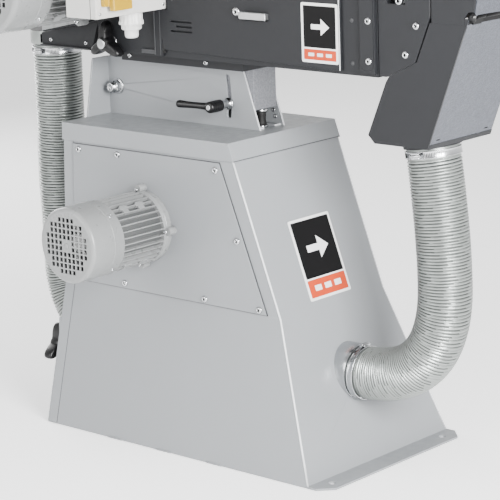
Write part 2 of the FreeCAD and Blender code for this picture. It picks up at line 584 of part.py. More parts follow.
# ---- rear hopper with its outlet pot ----
HOP = [(-457, 729), (-315, 729), (-293, LINE(-293)), (-457, LINE(-457))]
pot_x = REAR_PATH[0][0]
hop = fuse([prism_xz(HOP, -60, 60), rod("z", (pot_x, 0, 728), 53, 27)])
hop_in = prism_xz(inset(HOP, [3, 3, -20, 3]), -57, 57).common(box(-417, 0, -100, 100, 0, 900))
hop_in2 = prism_xz(inset(HOP, [3, 3, 3, -20]), -57, 57).common(box(-470, 0, -100, 100, 0, 900))
hop = cut(hop, [fuse([hop_in, hop_in2, rod("z", (pot_x, 0, 731), 50, 21)])])
hop = hop.cut(rod("z", (pot_x, 0, 720), DUCT_R - DUCT_T - SPIGOT_T, 20))
hop = fuse([hop, ring("z", (pot_x, 0, 696), DUCT_R - DUCT_T, DUCT_R - DUCT_T - SPIGOT_T, 34)])
export("rear_hopper", hop)

# ---- spark chute, its spigot square to the leaning hose ----
HOOD_Z = 838.0
CHUTE = [(401, 633), (415, 619), (532, 619), (622, 849), (545, 849), (542, 843), (511, 769), (450, 740),
         (443, 730)]
chute = prism_xz(CHUTE, -HEAD_Y, HEAD_Y)
hole_pts = [(406, 634), (417, 622), (530, 622), (619, 852), (619, 1000), (300, 1000), (442, 727)]
chute = chute.cut(prism_xz(hole_pts, -HEAD_Y + 3, HEAD_Y - 3))
chute = chute.cut(box(500, 613, -HEAD_Y - 1, HEAD_Y + 1, HOOD_Z, 900))
a, b = FRONT_PATH[-1], FRONT_PATH[-2]
ux, uz = a[0] - b[0], a[1] - b[1]
norm = math.hypot(ux, uz)
ux, uz = ux / norm, uz / norm


def along_hose(back, r, length):
    return Part.makeCylinder(r, length, V(a[0] - ux * back, 0, a[1] - uz * back), V(ux, 0, uz))


tip_r = DUCT_R - DUCT_T
below = box(300, 600, -100, 100, 500, 621)
neck = along_hose(36, tip_r, 60).common(below)
seat = along_hose(0, DUCT_R + 3, 30).common(below)
chute = fuse([chute, neck, seat]).cut(along_hose(60, tip_r - SPIGOT_T, 90).common(box(300, 600, -100, 100, 0, 630)))
export("spark_chute", chute)
band = along_hose(18, DUCT_R + 1.4, 14).cut(along_hose(18, DUCT_R, 14))
lug = box(-12, 12, -DUCT_R - 8, -DUCT_R - 0.2, -18 + 1, -18 + 13)
lug.rotate(V(0, 0, 0), V(0, 1, 0), math.degrees(math.atan2(ux, uz)))
lug.translate(V(a[0], 0, a[1]))
band = fuse([band, lug.cut(along_hose(30, DUCT_R, 40))])
export("head_hose_clamps", [band, hose_clamp("z", (pot_x, 0, 708), 13, -1)])

# ---- flap at the chute mouth ----
flap_dir = math.atan2(849 - 619, 622 - 532)
fx, fz = math.cos(flap_dir), math.sin(flap_dir)
FLAP_X, FLAP_Z = 622 + 5.0, 849 + 3.0
FLAP_REST = 80.0
flap = box(0, 46, -86, 86, -3, 0)
flap.rotate(V(0, 0, 0), V(0, 1, 0), -FLAP_REST)
flap.translate(V(FLAP_X, 0, FLAP_Z))
flap = flap.cut(Part.makeCompound([rod("y", (FLAP_X, y0 - 0.4, FLAP_Z), 4.8, 24.8) for y0 in (-78, 54)]))
pin = rod("y", (FLAP_X, -90, FLAP_Z), 2.2, 180)
flap = fuse([flap, pin] + [rod("y", (FLAP_X, y0, FLAP_Z), 4, 40) for y0 in (-53, 13)])
export("chute_flap", flap)
knuckles = [ring("y", (FLAP_X, y0, FLAP_Z), 4, 2.2 + RUN, 24) for y0 in (-78, 54)]
feet = [prism_xz([(FLAP_X - 3.4, FLAP_Z - 1), (FLAP_X - 1, FLAP_Z - 3.4), (620.0, 838.0), (617.6, 839)], y0, y0 + 24)
        for y0 in (-78, 54)]

# ---- work rest and its two arms ----
REST_X, REST_Z = 668.0, 915.0
HOOD = [(543.5, HOOD_Z), (612.4, HOOD_Z), (612.4, 850), (620, 860), (631.5, 861), (635.5, 884), (660, 893), (686, 905),
        (682, 930), (640, 942), (612, 1000), (568, 1030), (543.5, 1030)]
arms = [prism_xz(HOOD, y0, y0 + 3) for y0 in (-HEAD_Y, HEAD_Y - 3)]
arms = [s.cut(rod("y", (REST_X, -100, REST_Z), 6 + RUN, 200)).cut(rod("y", (FLAP_X, -100, FLAP_Z), 9, 200))
        for s in arms]
export("rest_arms", arms + [fuse([k, f]).cut(rod("y", (FLAP_X, -100, FLAP_Z), 2.2 + RUN, 200)).cut(chute)
                            for k, f in zip(knuckles, feet)])
table = box(631, 712, -88, 88, 932, 938)
webs = [box(652, 684, y0, y0 + 6, REST_Z - 14, 934) for y0 in (-86, 80)]
clamp_knobs = [rod("y", (REST_X, -HEAD_Y - 22.5, REST_Z), 14, 22), rod("y", (REST_X, HEAD_Y + 0.5, REST_Z), 11, 8)]
export("work_rest", fuse([table] + webs + clamp_knobs + [rod("y", (REST_X, -HEAD_Y - 10, REST_Z), 6, 2 * HEAD_Y + 16)]))

# ---- rotors of the head ----
hub = [ring("y", (WHEEL_X, -70, WHEEL_Z), WHEEL_R - 14, WHEEL_R - 26, 140), rod("y", (WHEEL_X, -66, WHEEL_Z), 30, 132),
       rod("y", (WHEEL_X, -5, WHEEL_Z), WHEEL_R - 20, 10)]
hub.append(rod("y", (WHEEL_X, -HEAD_Y - 19, WHEEL_Z), WHEEL_SHAFT_R, 2 * HEAD_Y))
hub = fuse(hub)
hub = cut(hub, [rod("y", (WHEEL_X + 68 * math.cos(k * math.pi / 3), -6, WHEEL_Z + 68 * math.sin(k * math.pi / 3)), 20, 12)
                for k in range(6)])
export("contact_hub", hub)
tyre = ring("y", (WHEEL_X, -75, WHEEL_Z), WHEEL_R, WHEEL_R - 14, 150)
grooves = []
for k in range(40):
    g = box(WHEEL_R - 4, WHEEL_R + 2, -80, 80, -1.5, 1.5)
    g.rotate(V(WHEEL_R, 0, 0), V(1, 0, 0), 12)
    g.rotate(V(0, 0, 0), V(0, 1, 0), 9.0 * k)
    g.translate(V(WHEEL_X, 0, WHEEL_Z))
    grooves.append(g)
export("contact_tyre", cut(tyre, grooves))

MOTOR_FACE = -HEAD_Y - 5
motor_plate = prism_xz([(-416, 766), (-262, 798), (-180, 840), (-180, 1020), (-416, 1000)], MOTOR_FACE, -HEAD_Y)
motor_plate = motor_plate.cut(rod("y", (DRIVE_X, -110, DRIVE_Z), 40, 30))
export("motor_plate", motor_plate)
shield, housing, cowl, rotor, drive_back = motor(
    DRIVE_X, DRIVE_Z, MOTOR_FACE, MOTOR_R, 24, 148, 86, DRIVE_SHAFT_R, 40, 12.0, 68.0)
export("drive_motor_shield", shield)
export("drive_motor_housing", housing)
export("drive_motor_cowl", cowl)
case = fuse([box(-50, 50, -50, 50, MOTOR_R - 12, MOTOR_R + 34), box(-53, 53, -53, 53, MOTOR_R + 34, MOTOR_R + 40)])
case.translate(V(DRIVE_X, MOTOR_FACE - 24 - 62, DRIVE_Z))
export("drive_terminal_box", case.cut(housing))
shaft = fuse(rotor + [rod("y", (DRIVE_X, drive_back - 38, DRIVE_Z), DRIVE_SHAFT_R, 38 + 172 + 5 + 162)])
export("drive_shaft", shaft)
wheel = fuse([ring("y", (DRIVE_X, -74, DRIVE_Z), DRIVE_R, DRIVE_R - 12, 148), rod("y", (DRIVE_X, -60, DRIVE_Z), 28, 110),
              rod("y", (DRIVE_X, -8, DRIVE_Z), DRIVE_R - 8, 12)])
export("drive_wheel", wheel.cut(rod("y", (DRIVE_X, -100, DRIVE_Z), DRIVE_SHAFT_R, 200)))

# ---- switch box, gland, buttons ----
SX0, SX1, SY0, SY1, SZ0, SZ1 = -154.0, -76.0, -275.0, -91.0, 828.0, 990.0
case = box(SX0, SX1 - 14, SY0, SY1, SZ0, SZ1).cut(box(SX0 + 4, SX1, SY0 + 4, SY1 - 4, SZ0 + 4, SZ1 - 4))
lid_box = box(SX1 - 14, SX1, SY0, SY1, SZ0, SZ1)
START_Y, START_Z, STOP_Y, STOP_Z = -226.0, 934.0, -226.0, 886.0
case = cut(fuse([case, lid_box]), [rod("x", (SX1 - 20, START_Y, START_Z), 9, 40), rod("x", (SX1 - 20, STOP_Y, STOP_Z), 9, 40)])
export("switch_box", case)
collar = fuse([box(SX1, SX1 + 10, -262, -200, 850, 952), box(SX1 + 10, SX1 + 22, -250, -202, 842, 960)])
collar = cut(collar, [rod("x", (SX1 - 1, START_Y, START_Z), 8 + RUN, 40), rod("x", (SX1 - 1, STOP_Y, STOP_Z), 8 + RUN, 40)])
export("switch_collar", collar)
GLAND_Y = -147.0
gland = fuse([rod("z", (-115, GLAND_Y, z0), r, SZ0 - z0) for r, z0 in ((22.5, 803), (19.5, 794), (13, 777))])
export("cable_gland", gland.cut(rod("z", (-115, GLAND_Y, 770), 7, SZ0 - 4 - 770)))
export("start_button", fuse([rod("x", (SX1 - 12, START_Y, START_Z), 8, 40), rod("x", (SX1 + 26, START_Y, START_Z), 11, 5)]))
export("stop_button", fuse([rod("x", (SX1 - 12, STOP_Y, STOP_Z), 8, 40), rod("x", (SX1 + 28, STOP_Y, STOP_Z), 19, 10)]))

# ---- hopper knob, clamp lever ----
export("hopper_knob", lobed_knob("y", (-225, -HEAD_Y - 0.6, 755), -1, 44, 30, 4.9, 16))
lever = fuse([rod("y", (STUD_X, CRADLE_Y0 - 52, STUD_Z), STUD_R, 60),
              rod("y", (STUD_X, CRADLE_Y0 - 30, STUD_Z), 9, 26),
              rod("y", (STUD_X, CRADLE_Y0 - 60, STUD_Z), 11.5, 32)])
arm_bar = Part.makeCone(7, 6.2, 66, V(0, 0, 0), V(0, 0, 1))
grip = Part.makeSphere(7.6, V(0, 0, 70))
handle = fuse([arm_bar, grip])
handle.rotate(V(0, 0, 0), V(0, 1, 0), -88)
handle.rotate(V(0, 0, 0), V(0, 0, 1), 14)
handle.translate(V(STUD_X, CRADLE_Y0 - 46, STUD_Z))
export("clamp_lever", fuse([lever, handle]))

# ---- far door on vertical knuckles ----
door = prism_xz(inset(OUTLINE, [1, 1, 1, 1, 1, 1]), HEAD_Y, HEAD_Y + 3)
door = fuse([door, prism_xz(inset(OUTLINE, 14), HEAD_Y + 3, HEAD_Y + 8)])
door = door.cut(prism_xz(inset(OUTLINE, 17), HEAD_Y - 1, HEAD_Y + 5))
leaves = [box(door_x, -405, door_y - 1, door_y + 1, z0 + 20.5, z0 + 60) for z0 in (800, 940)]
tubes = [rod("z", (door_x, door_y, z0 + 20.5), 5.0, 39.5) for z0 in (800, 940)]
pins = [rod("z", (door_x, door_y, z0 - 2), 2.5, 60) for z0 in (800, 940)]
clearances = [rod("z", (door_x, door_y, z0 - 0.5), 6.0, 21) for z0 in (800, 940)]
door = fuse([door.cut(Part.makeCompound(clearances))] + leaves + tubes + pins)
door = fuse([door, rod("y", (395, HEAD_Y + 8, 870), 9, 14), rod("y", (395, HEAD_Y + 20, 870), 16, 12)])
export("far_door", door)

# ---- hinged top cover ----
c0, c1 = -58.0, 424.0
cover = prism_xz([(c0, TOP(c0) + 0.6), (c1, TOP(c1) + 0.6), (c1, TOP(c1) + 3.6), (c0, TOP(c0) + 3.6)], -HEAD_Y, HEAD_Y - 3)
rib = prism_xz([(c0 + 30, TOP(c0 + 30) + 3), (c1 - 30, TOP(c1 - 30) + 3), (c1 - 40, TOP(c1 - 40) + 10),
                (c0 + 40, TOP(c0 + 40) + 10)], -64, 60)
cover = fuse([cover, rib])
clearances = [rod("y", (hinge_x, y0 - 0.5, hinge_z), KNUCKLE_R + 1, 25) for y0 in (-80, 50)]
cover = cover.cut(Part.makeCompound(clearances))
cover = fuse([cover, rod("y", (hinge_x, -55.5, hinge_z), 5.0, 105), rod("y", (hinge_x, -82, hinge_z), 3, 158),
              box(hinge_x, -50, -55, 49, TOP(-50) + 0.6, hinge_z + 2)])
export("top_cover", cover)

# ---- screws of the head ----
side = -HEAD_Y
screws = [head_screw("y", (x, side - 6, z), -1, 6.4, 3.4) for x, z in ((411, 834), (411, 764), (411, 960), (411, 1060))]
screws += [head_screw("y", (x, side, z), -1, 6.6, 3.6) for x, z in ((511, 831), (487, 780))]
screws += [head_screw("y", (475, side, 872), -1, 7.5, 4.0)]
screws += [head_screw("y", (106, side - 6, 833), -1, 8.0, 5.0)]
screws += [head_screw("y", (x, side - 6, z), -1, 5.0, 3.0) for x, z in ((-50, 1020), (320, 1050))]
screws += [head_screw("y", (x, -60, z), -1, 4.5, 3.0) for x, z in ((-430, 742), (-330, 742))]
screws += [head_screw("y", (x, -60, 726), -1, 5.0, 3.0) for x in (-210, -10)]
screws += [head_screw("y", (x, MOTOR_FACE, z), -1, 6.0, 4.0) for x, z in ((-404, 782), (-196, 1000), (-400, 985))]
screws += [head_screw("x", (SX1, y, z), 1, 3.5, 2.0) for y in (SY0 + 9, SY1 - 9) for z in (SZ0 + 9, SZ1 - 9)]
export("head_screws", screws)
export("head_label", box(260, 344, side - 7, side - 6, 753, 859))
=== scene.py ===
import math

import bmesh
import bpy
from mathutils import Matrix, Vector, noise


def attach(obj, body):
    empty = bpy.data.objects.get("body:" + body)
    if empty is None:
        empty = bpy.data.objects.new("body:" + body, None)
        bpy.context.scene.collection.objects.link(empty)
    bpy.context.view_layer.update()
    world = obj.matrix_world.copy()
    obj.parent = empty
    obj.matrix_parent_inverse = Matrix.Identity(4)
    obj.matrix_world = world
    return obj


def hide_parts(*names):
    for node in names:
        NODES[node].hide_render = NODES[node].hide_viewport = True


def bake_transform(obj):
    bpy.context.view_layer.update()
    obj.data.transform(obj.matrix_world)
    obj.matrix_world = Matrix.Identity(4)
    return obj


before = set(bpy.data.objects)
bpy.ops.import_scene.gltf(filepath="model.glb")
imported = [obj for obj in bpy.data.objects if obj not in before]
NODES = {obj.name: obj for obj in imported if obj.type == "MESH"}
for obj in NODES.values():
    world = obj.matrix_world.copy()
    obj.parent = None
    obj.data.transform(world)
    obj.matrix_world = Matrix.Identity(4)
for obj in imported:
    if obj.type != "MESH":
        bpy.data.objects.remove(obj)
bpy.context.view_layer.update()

MM = 0.001


def mm(x, y, z):
    return Vector((x * MM, y * MM, z * MM))


# ---- camera: a long lens, looking at the near side and the front from a little above ----
CAMERA_AT = (2788, -3043, 1327)
CAMERA_BACK = (0.6536, -0.7213, 0.2294)
CAMERA_ROLL = -2.0
LENS, SENSOR = 158.4, 36.0


def make_camera():
    back = Vector(CAMERA_BACK).normalized()
    right = Vector((-back.y, back.x, 0)).normalized()
    up = back.cross(right)
    roll = math.radians(CAMERA_ROLL)
    right, up = right * math.cos(roll) + up * math.sin(roll), up * math.cos(roll) - right * math.sin(roll)
    turn = Matrix((right, up, back)).transposed().to_4x4()
    data = bpy.data.cameras.new("camera")
    data.lens = LENS
    data.sensor_width = SENSOR
    data.clip_start, data.clip_end = 0.1, 40
    cam = bpy.data.objects.new("camera", data)
    cam.matrix_world = Matrix.Translation(mm(*CAMERA_AT)) @ turn
    bpy.context.scene.collection.objects.link(cam)
    bpy.context.scene.camera = cam


make_camera()


# ---- materials ----
class Paint:
    """One material's node tree, on object coordinates in metres."""

    def __init__(self, name):
        self.mat = bpy.data.materials.new(name)
        self.mat.use_nodes = True
        self.tree = self.mat.node_tree
        self.shader = self.tree.nodes["Principled BSDF"]
        self.coord = self.add("ShaderNodeTexCoord").outputs["Object"]

    def add(self, kind, **values):
        node = self.tree.nodes.new(kind)
        for key, value in values.items():
            if hasattr(node, key):
                setattr(node, key, value)
            else:
                node.inputs[key.replace("_", " ")].default_value = value
        return node

    def link(self, a, b):
        self.tree.links.new(a, b)

    def stretch(self, scale):
        mapping = self.add("ShaderNodeMapping")
        mapping.inputs["Scale"].default_value = scale
        self.link(self.coord, mapping.inputs["Vector"])
        return mapping.outputs["Vector"]

    def noise(self, scale, detail=2.0, rough=0.5, stretch=None):
        node = self.add("ShaderNodeTexNoise", Scale=scale, Detail=detail, Roughness=rough)
        self.link(self.stretch(stretch) if stretch else self.coord, node.inputs["Vector"])
        return node.outputs["Fac"]

    def cells(self, scale, kind="SMOOTH_F1", smooth=1.0):
        node = self.add("ShaderNodeTexVoronoi", feature=kind)
        node.inputs["Scale"].default_value = scale
        if kind == "SMOOTH_F1":
            node.inputs["Smoothness"].default_value = smooth
        self.link(self.coord, node.inputs["Vector"])
        return node.outputs["Distance"]

    def ramp(self, value, stops):
        node = self.add("ShaderNodeValToRGB")
        elements = node.color_ramp.elements
        for element, (place, colour) in ((elements[0], stops[0]), (elements[1], stops[-1])):
            element.position, element.color = place, (*colour, 1)
        for place, colour in stops[1:-1]:
            elements.new(place).color = (*colour, 1)
        self.link(value, node.inputs["Fac"])
        return node.outputs["Color"]

    def span(self, value, low, high, start=0.3, end=0.7):
        node = self.add("ShaderNodeMapRange")
        for key, v in (("From Min", start), ("From Max", end), ("To Min", low), ("To Max", high)):
            node.inputs[key].default_value = v
        self.link(value, node.inputs["Value"])
        return node.outputs["Result"]

    def mix(self, a, b, factor):
        node = self.add("ShaderNodeMix", data_type="RGBA")
        node.inputs["Factor"].default_value = factor
        self.link(a, node.inputs["A"])
        self.link(b, node.inputs["B"])
        return node.outputs["Result"]

    def bump(self, height, strength, distance):
        node = self.add("ShaderNodeBump", Strength=strength, Distance=distance)
        self.link(height, node.inputs["Height"])
        return node.outputs["Normal"]

    def set(self, **values):
        for key, value in values.items():
            socket = self.shader.inputs[key.replace("_", " ")]
            if isinstance(value, bpy.types.NodeSocket):
                self.link(value, socket)
            else:
                socket.default_value = value
        return self


def shade(colour, k):
    return tuple(min(1.0, c * k) for c in colour)


def powder(name, colour, rough=0.42, grain=0.05, peel=0.10, size=900.0, metal=0.0, shine=0.5):
    """Powder coat: fine orange peel, a faint speckle, slow tone drift."""
    p = Paint(name)
    speck = p.noise(size * 1.6, 2, 0.6)
    drift = p.noise(3.2, 3, 0.55)
    fine = p.ramp(speck, [(0.3, shade(colour, 1 - grain)), (0.7, shade(colour, 1 + grain))])
    slow = p.ramp(drift, [(0.35, shade(colour, 0.965)), (0.65, shade(colour, 1.03))])
    p.set(Base_Color=p.mix(fine, slow, 0.5), Metallic=metal, Specular_IOR_Level=shine)
    p.set(Roughness=p.span(p.noise(60, 3), rough - 0.05, rough + 0.06))
    p.set(Normal=p.bump(p.noise(size, 1, 0.4), peel, 0.0006))
    return p.mat


def hammered(name, dark, light, rough=0.34):
    """Hammertone paint: shallow round dimples with a metallic flake."""
    p = Paint(name)
    dimple = p.cells(330, smooth=0.6)
    flake = p.noise(1500, 1, 0.7)
    body = p.ramp(dimple, [(0.1, dark), (0.75, light)])
    glint = p.ramp(flake, [(0.4, dark), (0.62, shade(light, 1.25))])
    p.set(Base_Color=p.mix(body, glint, 0.35), Metallic=0.25)
    p.set(Roughness=p.span(p.noise(90, 2), rough, rough + 0.14))
    p.set(Normal=p.bump(dimple, 0.35, 0.0012))
    return p.mat


def metal(name, colour, rough=0.28, streak=(40, 40, 900), grain=0.07, bump=0.05, full=1.0):
    """Bare metal with directional grain and slow staining."""
    p = Paint(name)
    lines = p.noise(1.0, 4, 0.6, stretch=streak)
    stain = p.noise(14, 3, 0.6)
    tone = p.ramp(lines, [(0.3, shade(colour, 1 - grain)), (0.7, shade(colour, 1 + grain))])
    old = p.ramp(stain, [(0.3, shade(colour, 0.93)), (0.7, shade(colour, 1.03))])
    p.set(Base_Color=p.mix(tone, old, 0.4), Metallic=full)
    p.set(Roughness=p.span(stain, rough - 0.06, rough + 0.1))
    p.set(Normal=p.bump(lines, bump, 0.0004))
    return p.mat


def cast(name, colour, rough=0.45, size=700.0):
    """Painted or raw casting with a sandy skin."""
    p = Paint(name)
    sand = p.noise(size, 4, 0.65)
    p.set(Base_Color=p.ramp(sand, [(0.25, shade(colour, 0.93)), (0.7, shade(colour, 1.05))]))
    p.set(Roughness=p.span(p.noise(45, 2), rough - 0.05, rough + 0.1), Metallic=0.0)
    p.set(Normal=p.bump(sand, 0.14, 0.0007))
    return p.mat


def plastic(name, colour, rough=0.4, size=1400.0, texture=0.12, shine=0.5):
    """Moulded plastic with spark-eroded texture."""
    p = Paint(name)
    skin = p.noise(size, 2, 0.6)
    p.set(Base_Color=p.ramp(p.noise(11, 3), [(0.3, shade(colour, 0.94)), (0.7, shade(colour, 1.05))]))
    p.set(Roughness=p.span(skin, rough - 0.06, rough + 0.08), Specular_IOR_Level=shine)
    p.set(Normal=p.bump(skin, texture, 0.0004))
    return p.mat


def grit(name):
    """Coated abrasive: resin-bonded grains on a brown backing."""
    p = Paint(name)
    grains = p.cells(1150, "F1")
    tint = p.noise(700, 3, 0.7)
    stops = [(0.3, (0.05, 0.013, 0.008)), (0.5, (0.11, 0.030, 0.015)), (0.72, (0.19, 0.07, 0.042))]
    p.set(Base_Color=p.ramp(tint, stops))
    p.set(Roughness=0.85, Normal=p.bump(grains, 0.9, 0.0009))
    return p.mat


GREY = (0.192, 0.201, 0.210)
M = {
    "coat": powder("coat_light", GREY, 0.36, 0.04, 0.09),
    "panel": powder("coat_panel", shade(GREY, 0.955), 0.38, 0.04, 0.09),
    # painted highlight: a much lighter copy of the grey coat for edges and faces that catch the light
    "edge": powder("coat_painted_highlight", (0.50, 0.51, 0.52), 0.25, 0.02, 0.04),
    "dark": powder("coat_dark", (0.0105, 0.0110, 0.0125), 0.46, 0.10, 0.14, 800, 0.0, 0.2),
    # near-black coat; on the light pedestal its strips are painted shadow and shade lines
    "dark_line": powder("coat_line", (0.017, 0.018, 0.020), 0.40, 0.05, 0.08, 800),
    "hammer": hammered("hammer_blue", (0.031, 0.034, 0.041), (0.070, 0.075, 0.091)),
    "keel": hammered("hammer_grey", (0.075, 0.078, 0.086), (0.17, 0.175, 0.19)),
    "motor": cast("motor_enamel", (0.185, 0.190, 0.190), 0.30),
    # painted shade: a darker copy of the motor enamel for the valleys between the fins
    "motor_painted_shade": cast("motor_enamel_painted_shade", (0.055, 0.057, 0.057), 0.42),
    "duct": metal("duct_metal", (0.255, 0.272, 0.262), 0.34, (160, 160, 160), 0.05, 0.03, 0.7),
    # painted shade: a darker copy of the duct metal for the corrugation valleys
    "duct_painted_shade": metal("duct_valley_painted_shade", (0.070, 0.076, 0.072), 0.5, (160, 160, 160), 0.05, 0.03, 0.5),
    "zinc": metal("zinc", (0.50, 0.51, 0.52), 0.20),
    "steel": metal("ground_steel", (0.42, 0.42, 0.42), 0.30, (700, 25, 700), 0.10, 0.08),
    "alloy": metal("machined_alloy", (0.46, 0.465, 0.47), 0.34, (300, 300, 300), 0.05, 0.04),
    "black": plastic("black_plastic", (0.0032, 0.0032, 0.0036), 0.30, 1400, 0.08, 0.3),
    "rubber": plastic("black_rubber", (0.006, 0.006, 0.006), 0.6, 500, 0.2, 0.3),
    "tyre": plastic("tyre_rubber", (0.016, 0.011, 0.008), 0.66, 420, 0.35),
    "ivory": plastic("ivory_plastic", (0.46, 0.455, 0.435), 0.34, 900, 0.10),
    "white": plastic("white_plastic", (0.56, 0.56, 0.545), 0.36),
    "yellow": plastic("yellow_plastic", (0.34, 0.205, 0.0), 0.45),
    "red": plastic("red_plastic", (0.33, 0.004, 0.003), 0.26),
    "green": plastic("green_plastic", (0.004, 0.085, 0.018), 0.28),
    "orange": plastic("orange_print", (0.40, 0.036, 0.005), 0.34, 2000, 0.03, 0.25),
    # print black; also painted shade in sockets and slots, and the painted shadow under the cover handle
    "ink": plastic("black_print", (0.0016, 0.0016, 0.0018), 0.42, 2000, 0.03, 0.12),
    "paper": plastic("white_print", (0.66, 0.66, 0.655), 0.3, 2000, 0.03),
    "filter": plastic("filter_paper", (0.42, 0.40, 0.34), 0.9, 500, 0.4),
    "grit": grit("abrasive_grit"),
}


# ---- CAD nodes that stay: material and softened edges ----
WELD_GAP = 0.00001
BEVEL_STEPS = 2
CAD_BEVEL_ANGLE, PIECE_BEVEL_ANGLE = math.radians(34), math.radians(38)


def dress(node, key, width):
    obj = NODES[node]
    obj.data.materials.clear()
    obj.data.materials.append(M[key])
    if width:
        weld = obj.modifiers.new("weld", "WELD")
        weld.merge_threshold = WELD_GAP
        bevel = obj.modifiers.new("edge", "BEVEL")
        bevel.width = width * MM
        bevel.segments = BEVEL_STEPS
        bevel.limit_method = "ANGLE"
        bevel.angle_limit = CAD_BEVEL_ANGLE
        bevel.harden_normals = False
        bevel.use_clamp_overlap = True


KEPT = [
    ("base_front_wall", "coat", 0.9), ("base_rear_wall", "coat", 0.7), ("base_near_side", "coat", 0.6),
    ("base_far_side", "coat", 0.6), ("base_lid", "coat", 0.9), ("base_decks", "coat", 0.4),
    ("motor_panel", "panel", 0.5), ("filter_cassette", "filter", 0.0), ("rear_hatch", "coat", 0.6),
    ("base_spigots", "zinc", 0.4), ("fan_motor_shield", "motor", 0.8), ("fan_motor_housing", "motor", 0.3),
    ("fan_motor_cowl", "motor", 0.3), ("fan_volute", "zinc", 0.0), ("cradle_plates", "coat", 0.5),
    ("fan_shaft", "steel", 0.0), ("fan_impeller", "alloy", 0.0), ("dust_drawer", "coat", 0.6),
    ("head_keel", "keel", 0.6), ("head_backbone", "dark", 0.5), ("near_covers", "dark", 0.5),
    ("contact_arm", "dark", 0.8), ("abrasive_belt", "grit", 0.0), ("platen", "steel", 0.4),
    ("rear_hopper", "dark", 0.6), ("spark_chute", "dark", 0.6), ("rest_arms", "dark", 0.4),
    ("motor_plate", "motor", 0.6), ("drive_motor_shield", "motor", 0.8), ("drive_motor_housing", "motor", 0.3),
    ("drive_motor_cowl", "motor", 0.3), ("switch_box", "ivory", 1.6), ("switch_collar", "yellow", 3.0),
    ("chute_flap", "hammer", 0.4), ("work_rest", "steel", 0.5), ("contact_hub", "alloy", 0.5),
    ("contact_tyre", "tyre", 0.0), ("drive_shaft", "steel", 0.0), ("drive_wheel", "alloy", 0.5),
    ("far_door", "dark", 0.5), ("top_cover", "dark", 0.6),
]
for node, key, width in KEPT:
    dress(node, key, width)


# ---- mesh helpers ----
X, Y, Z = Vector((1, 0, 0)), Vector((0, 1, 0)), Vector((0, 0, 1))


def turns(sides):
    """Angles of a full turn in equal steps."""
    return [2 * math.pi * k / sides for k in range(sides)]


def hexed(t):
    """Angle from the middle of the nearest of six flats."""
    return (t + math.pi / 6) % (math.pi / 3) - math.pi / 6


def rounded(hx, hy, r, cx=0.0, cy=0.0):
    """Outline of a rectangle of half sizes hx and hy, its corners rounded by r."""
    outline = []
    for sx, sy, start in ((1, 1, 0), (-1, 1, 90), (-1, -1, 180), (1, -1, 270)):
        for k in range(5 if r else 1):
            t = math.radians(start + 22.5 * k)
            outline.append((cx + sx * (hx - r) + r * math.cos(t), cy + sy * (hy - r) + r * math.sin(t)))
    return outline


def frame_on(origin, normal, up=(0, 0, 1)):
    """Matrix whose Z runs along the normal."""
    z = Vector(normal).normalized()
    up = Vector(up)
    if abs(z.dot(up)) > 0.98:
        up = Vector((1, 0, 0))
    x = up.cross(z).normalized()
    y = z.cross(x)
    turn = Matrix((x, y, z)).transposed().to_4x4()
    return Matrix.Translation(origin) @ turn


